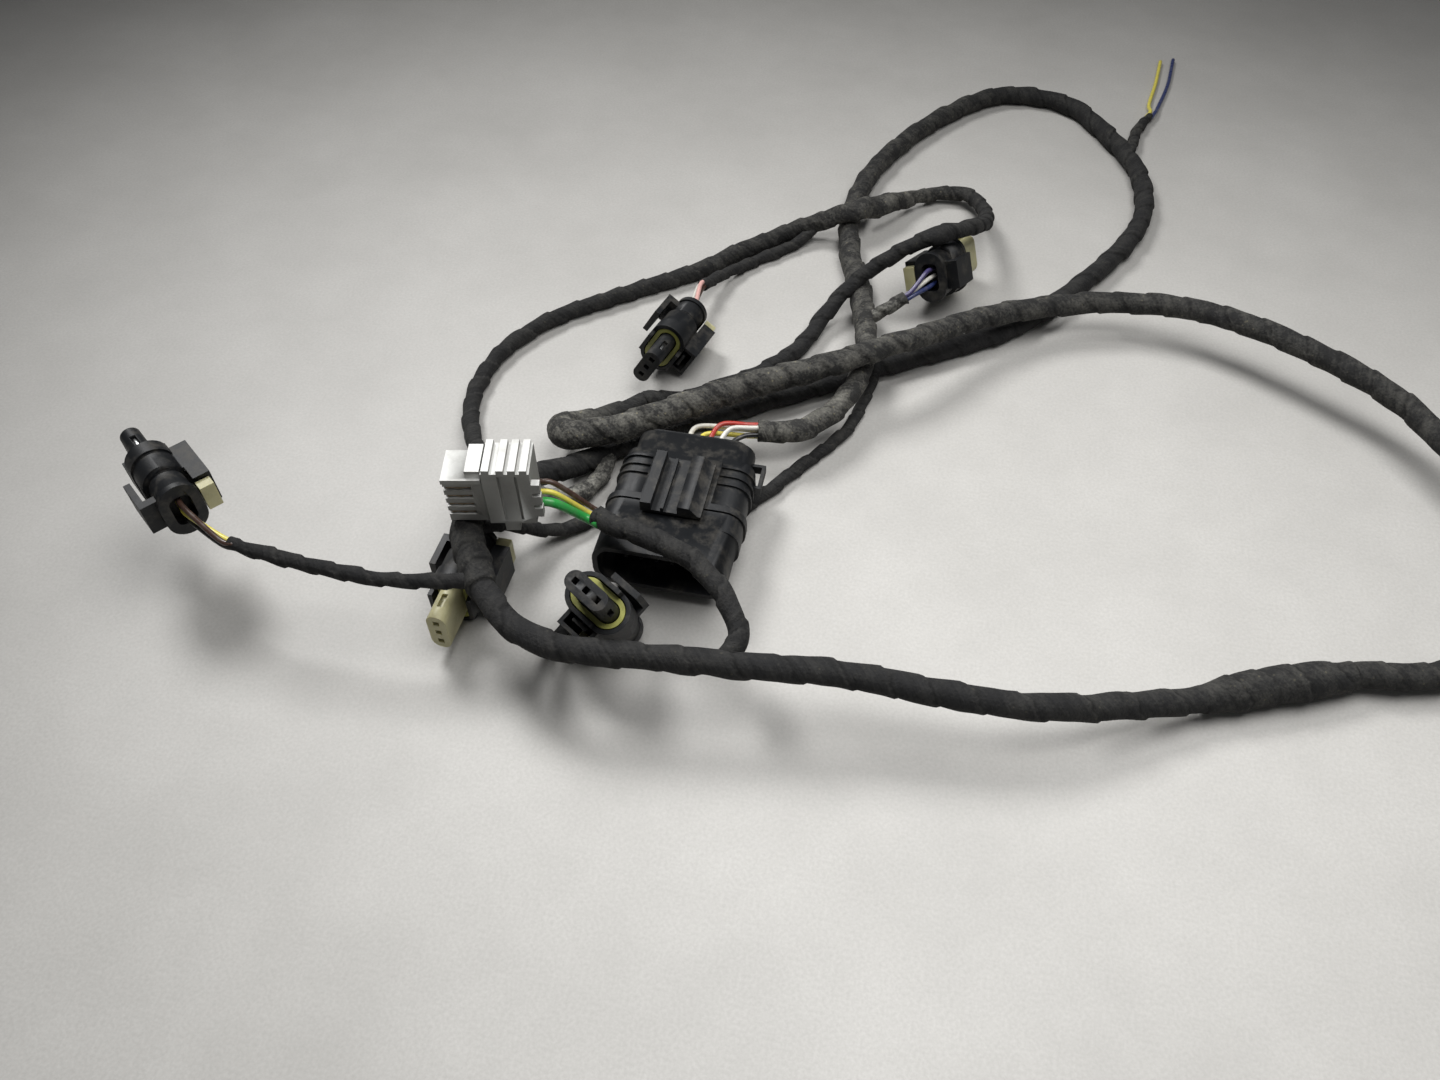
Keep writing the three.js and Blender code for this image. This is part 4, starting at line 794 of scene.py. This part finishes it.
def moulded(name, colour, worn, roughness, glow=0.0, wear=0.5, painted_side_shade=0.0, gloss=0.5):
    material, shader = new_material(name, IOR=1.53, Specular_IOR_Level=gloss)
    if glow:
        shader.inputs["Subsurface Weight"].default_value = glow
        shader.inputs["Subsurface Scale"].default_value = 2 * MM
        shader.inputs["Subsurface Radius"].default_value = (1.0, 0.9, 0.6)
    place = add(material, "ShaderNodeTexCoord").outputs["Object"]
    grain = add(material, "ShaderNodeTexNoise", {
        "Vector": place, "Scale": 1 / GRAIN_SIZE, "Detail": 2, "Roughness": 0.5,
    }).outputs["Fac"]
    scuffs = add(material, "ShaderNodeTexNoise", {
        "Vector": place, "Scale": 1 / SCUFF_SIZE, "Detail": 6, "Roughness": 0.68,
    }).outputs["Fac"]
    spread = add(material, "ShaderNodeMapRange", {
        "Value": scuffs, "From Min": 0.5, "From Max": 0.72, "To Min": 0.0, "To Max": wear,
    }).outputs["Result"]
    shade = add(material, "ShaderNodeMix", {
        "Factor": spread, "A": linear(colour), "B": linear(worn),
    }, data_type="RGBA").outputs[2]
    if painted_side_shade:
        # Painted shade: the sides, which turn away from upward, are mixed towards dark grey.
        normal = add(material, "ShaderNodeNewGeometry").outputs["Normal"]
        upward = add(material, "ShaderNodeSeparateXYZ", {"Vector": normal}).outputs["Z"]
        side_shade_amount = add(material, "ShaderNodeMapRange", {
            "Value": upward, "From Min": 0.2, "From Max": 0.7, "To Min": painted_side_shade, "To Max": 0.0,
        }).outputs["Result"]
        shade = add(material, "ShaderNodeMix", {
            "Factor": side_shade_amount, "A": shade, "B": linear("#6c6b66"),
        }, data_type="RGBA").outputs[2]
    join(material, shade, shader.inputs["Base Color"])
    matt = add(material, "ShaderNodeMath", {0: scuffs, 1: 0.3, 2: roughness - 0.13},
               operation="MULTIPLY_ADD").outputs[0]
    join(material, matt, shader.inputs["Roughness"])
    rounded = add(material, "ShaderNodeBevel", {"Radius": EDGE_ROUNDING}, samples=4)
    bump = add(material, "ShaderNodeBump", {
        "Strength": 0.35, "Distance": 0.08 * MM, "Height": grain,
        "Normal": rounded.outputs["Normal"],
    })
    join(material, bump.outputs["Normal"], shader.inputs["Normal"])
    return material


PLASTICS = {
    "moulded_black": moulded("black_glass_filled_nylon", "#0e1013", "#57534c", 0.5, wear=0.55,
                             gloss=0.35),
    "natural_nylon": moulded("undyed_nylon", "#b3ae87", "#8d8763", 0.45, glow=0.25),
    # The off-white connector gets painted shade on its sides.
    "pale_plastic": moulded("off_white_polyester", "#d6d6d2", "#a9a8a2", 0.5, wear=0.6, painted_side_shade=0.75),
    "silicone_seal": moulded("yellow_silicone_rubber", "#9a9a4e", "#77763e", 0.5),
    "red_seal": moulded("red_brown_silicone_rubber", "#5c2a20", "#43231d", 0.5),
}
for slot, nodes in MOULDINGS.items():
    for node in nodes:
        mouldings[node].data.materials.append(PLASTICS[slot])

# %% [markdown]
# ### Contact metals
# Tarnished brass is a metal with a brown, uneven film, and tin plate is a bright, slightly
# milky one. Both keep the shader's own IOR.

# %% Contact metals
TARNISH_SIZE = 0.9 * MM


def contact_metal(name, bright, dull, roughness):
    material, shader = new_material(name, Metallic=1.0, Roughness=roughness)
    place = add(material, "ShaderNodeTexCoord").outputs["Object"]
    film = add(material, "ShaderNodeTexNoise", {
        "Vector": place, "Scale": 1 / TARNISH_SIZE, "Detail": 4, "Roughness": 0.6,
    }).outputs["Fac"]
    shade = add(material, "ShaderNodeMix", {
        "Factor": film, "A": linear(bright), "B": linear(dull),
    }, data_type="RGBA").outputs[2]
    join(material, shade, shader.inputs["Base Color"])
    return material


tarnished_brass = contact_metal("tarnished_brass", "#a39684", "#4d4033", 0.42)
tin_plate = contact_metal("tin_plate", "#e2e3e2", "#a8a9a8", 0.25)
# The near-black finish of the slot blocks is painted shade.
slot_shade_finish = moulded("brown_polyester", "#1c1916", "#3a342c", 0.6)
for piece in plug_contacts:
    piece.data.materials.append(tarnished_brass)
for piece in slot_shade_blocks:
    piece.data.materials.append(slot_shade_finish)
for piece in terminals:
    piece.data.materials.append(tin_plate)

# %% [markdown]
# ### Wire insulation
# Automotive wire has a thin coat of vinyl, smooth and fairly glossy, with a film of dust that
# dulls it in places.

# %% Wire insulation
FILM_SIZE = 2 * MM
VINYL = {
    "black": "#161617", "white": "#d4d1c8", "yellow": "#ddd05a", "red": "#a83227",
    "brown": "#46332b", "pink": "#d9aaa3", "purple": "#453e66", "blue": "#2c3765",
    "green": "#329a48", "pale": "#cdcac0",
}


def vinyl(colour):
    material, shader = new_material(f"{colour}_vinyl_insulation", IOR=1.53)
    place = add(material, "ShaderNodeTexCoord").outputs["Object"]
    film = add(material, "ShaderNodeTexNoise", {
        "Vector": place, "Scale": 1 / FILM_SIZE, "Detail": 4, "Roughness": 0.6,
    }).outputs["Fac"]
    amount = add(material, "ShaderNodeMapRange", {
        "Value": film, "From Min": 0.5, "From Max": 0.9, "To Min": 0.0, "To Max": 0.6,
    }).outputs["Result"]
    shade = add(material, "ShaderNodeMix", {
        "Factor": amount, "A": linear(VINYL[colour]), "B": linear("#77726a"),
    }, data_type="RGBA").outputs[2]
    join(material, shade, shader.inputs["Base Color"])
    gloss = add(material, "ShaderNodeMath", {0: film, 1: 0.4, 2: 0.12},
                operation="MULTIPLY_ADD").outputs[0]
    join(material, gloss, shader.inputs["Roughness"])
    return material


coats = {colour: vinyl(colour) for colour in VINYL}
for piece in (*wires_a, *wires_b, *wires_d, *wires_main, *wires_pale, *wires_cut):
    piece.data.materials.append(coats[piece.name.rsplit("_", 1)[1]])

# %% [markdown]
# ## Table and light
# The harness lies on a pale grey table. A lamp behind and to the left throws soft shadows towards
# the viewer. A lower one overhead lights the middle of the table more than its edges, and the
# world fills in a little.

# %% Table
TABLE_SIZE = 3.0
MOTTLE_SCALE = 14
SPECKLE_SIZE = 0.9 * MM
table = bmesh.new()
bmesh.ops.create_grid(table, x_segments=1, y_segments=1, size=TABLE_SIZE)
table_mesh = bpy.data.meshes.new("table")
table.to_mesh(table_mesh)
table.free()
table_piece = bpy.data.objects.new("table", table_mesh)
scene.collection.objects.link(table_piece)

laminate, shader = new_material("grey_table_laminate", Roughness=0.55)
place = add(laminate, "ShaderNodeTexCoord").outputs["Object"]
mottle = add(laminate, "ShaderNodeTexNoise", {
    "Vector": place, "Scale": MOTTLE_SCALE, "Detail": 8, "Roughness": 0.7,
}).outputs["Fac"]
spread = add(laminate, "ShaderNodeMapRange", {"Value": mottle, "From Min": 0.35, "From Max": 0.65})
tone = add(laminate, "ShaderNodeMix", {
    "Factor": spread.outputs["Result"], "A": linear("#b3b1ad"), "B": linear("#bebcb8"),
}, data_type="RGBA").outputs[2]
speckle = add(laminate, "ShaderNodeTexNoise", {
    "Vector": place, "Scale": 1 / SPECKLE_SIZE, "Detail": 2, "Roughness": 0.6,
}).outputs["Fac"]
specks = add(laminate, "ShaderNodeMapRange", {
    "Value": speckle, "From Min": 0.3, "From Max": 0.75, "To Min": 0.0, "To Max": 0.35,
})
grainy = add(laminate, "ShaderNodeMix", {
    "Factor": specks.outputs["Result"], "A": tone, "B": linear("#96948f"),
}, data_type="RGBA").outputs[2]
join(laminate, grainy, shader.inputs["Base Color"])
table_mesh.materials.append(laminate)

# %% Lamps and world


def lamp(name, place, target, size, power, spread):
    data = bpy.data.lights.new(name, "AREA")
    data.shape = "DISK"
    data.size = size
    data.energy = power
    data.spread = math.radians(spread)
    light = bpy.data.objects.new(name, data)
    aim = (Vector(target) - Vector(place)).to_track_quat("-Z", "Y")
    light.matrix_world = Matrix.Translation(place) @ aim.to_matrix().to_4x4()
    scene.collection.objects.link(light)


lamp("key_lamp", (-0.5, 0.3, 0.75), (0.08, -0.2, 0), 0.34, 1.05, spread=64)
lamp("middle_lamp", (0.1, -0.12, 0.46), (0.05, -0.22, 0), 0.42, 1.15, spread=120)

world = bpy.data.worlds.new("studio")
world.use_nodes = True
background = world.node_tree.nodes["Background"]
background.inputs["Color"].default_value = linear("#e6e8ea")
background.inputs["Strength"].default_value = 0.13
scene.world = world
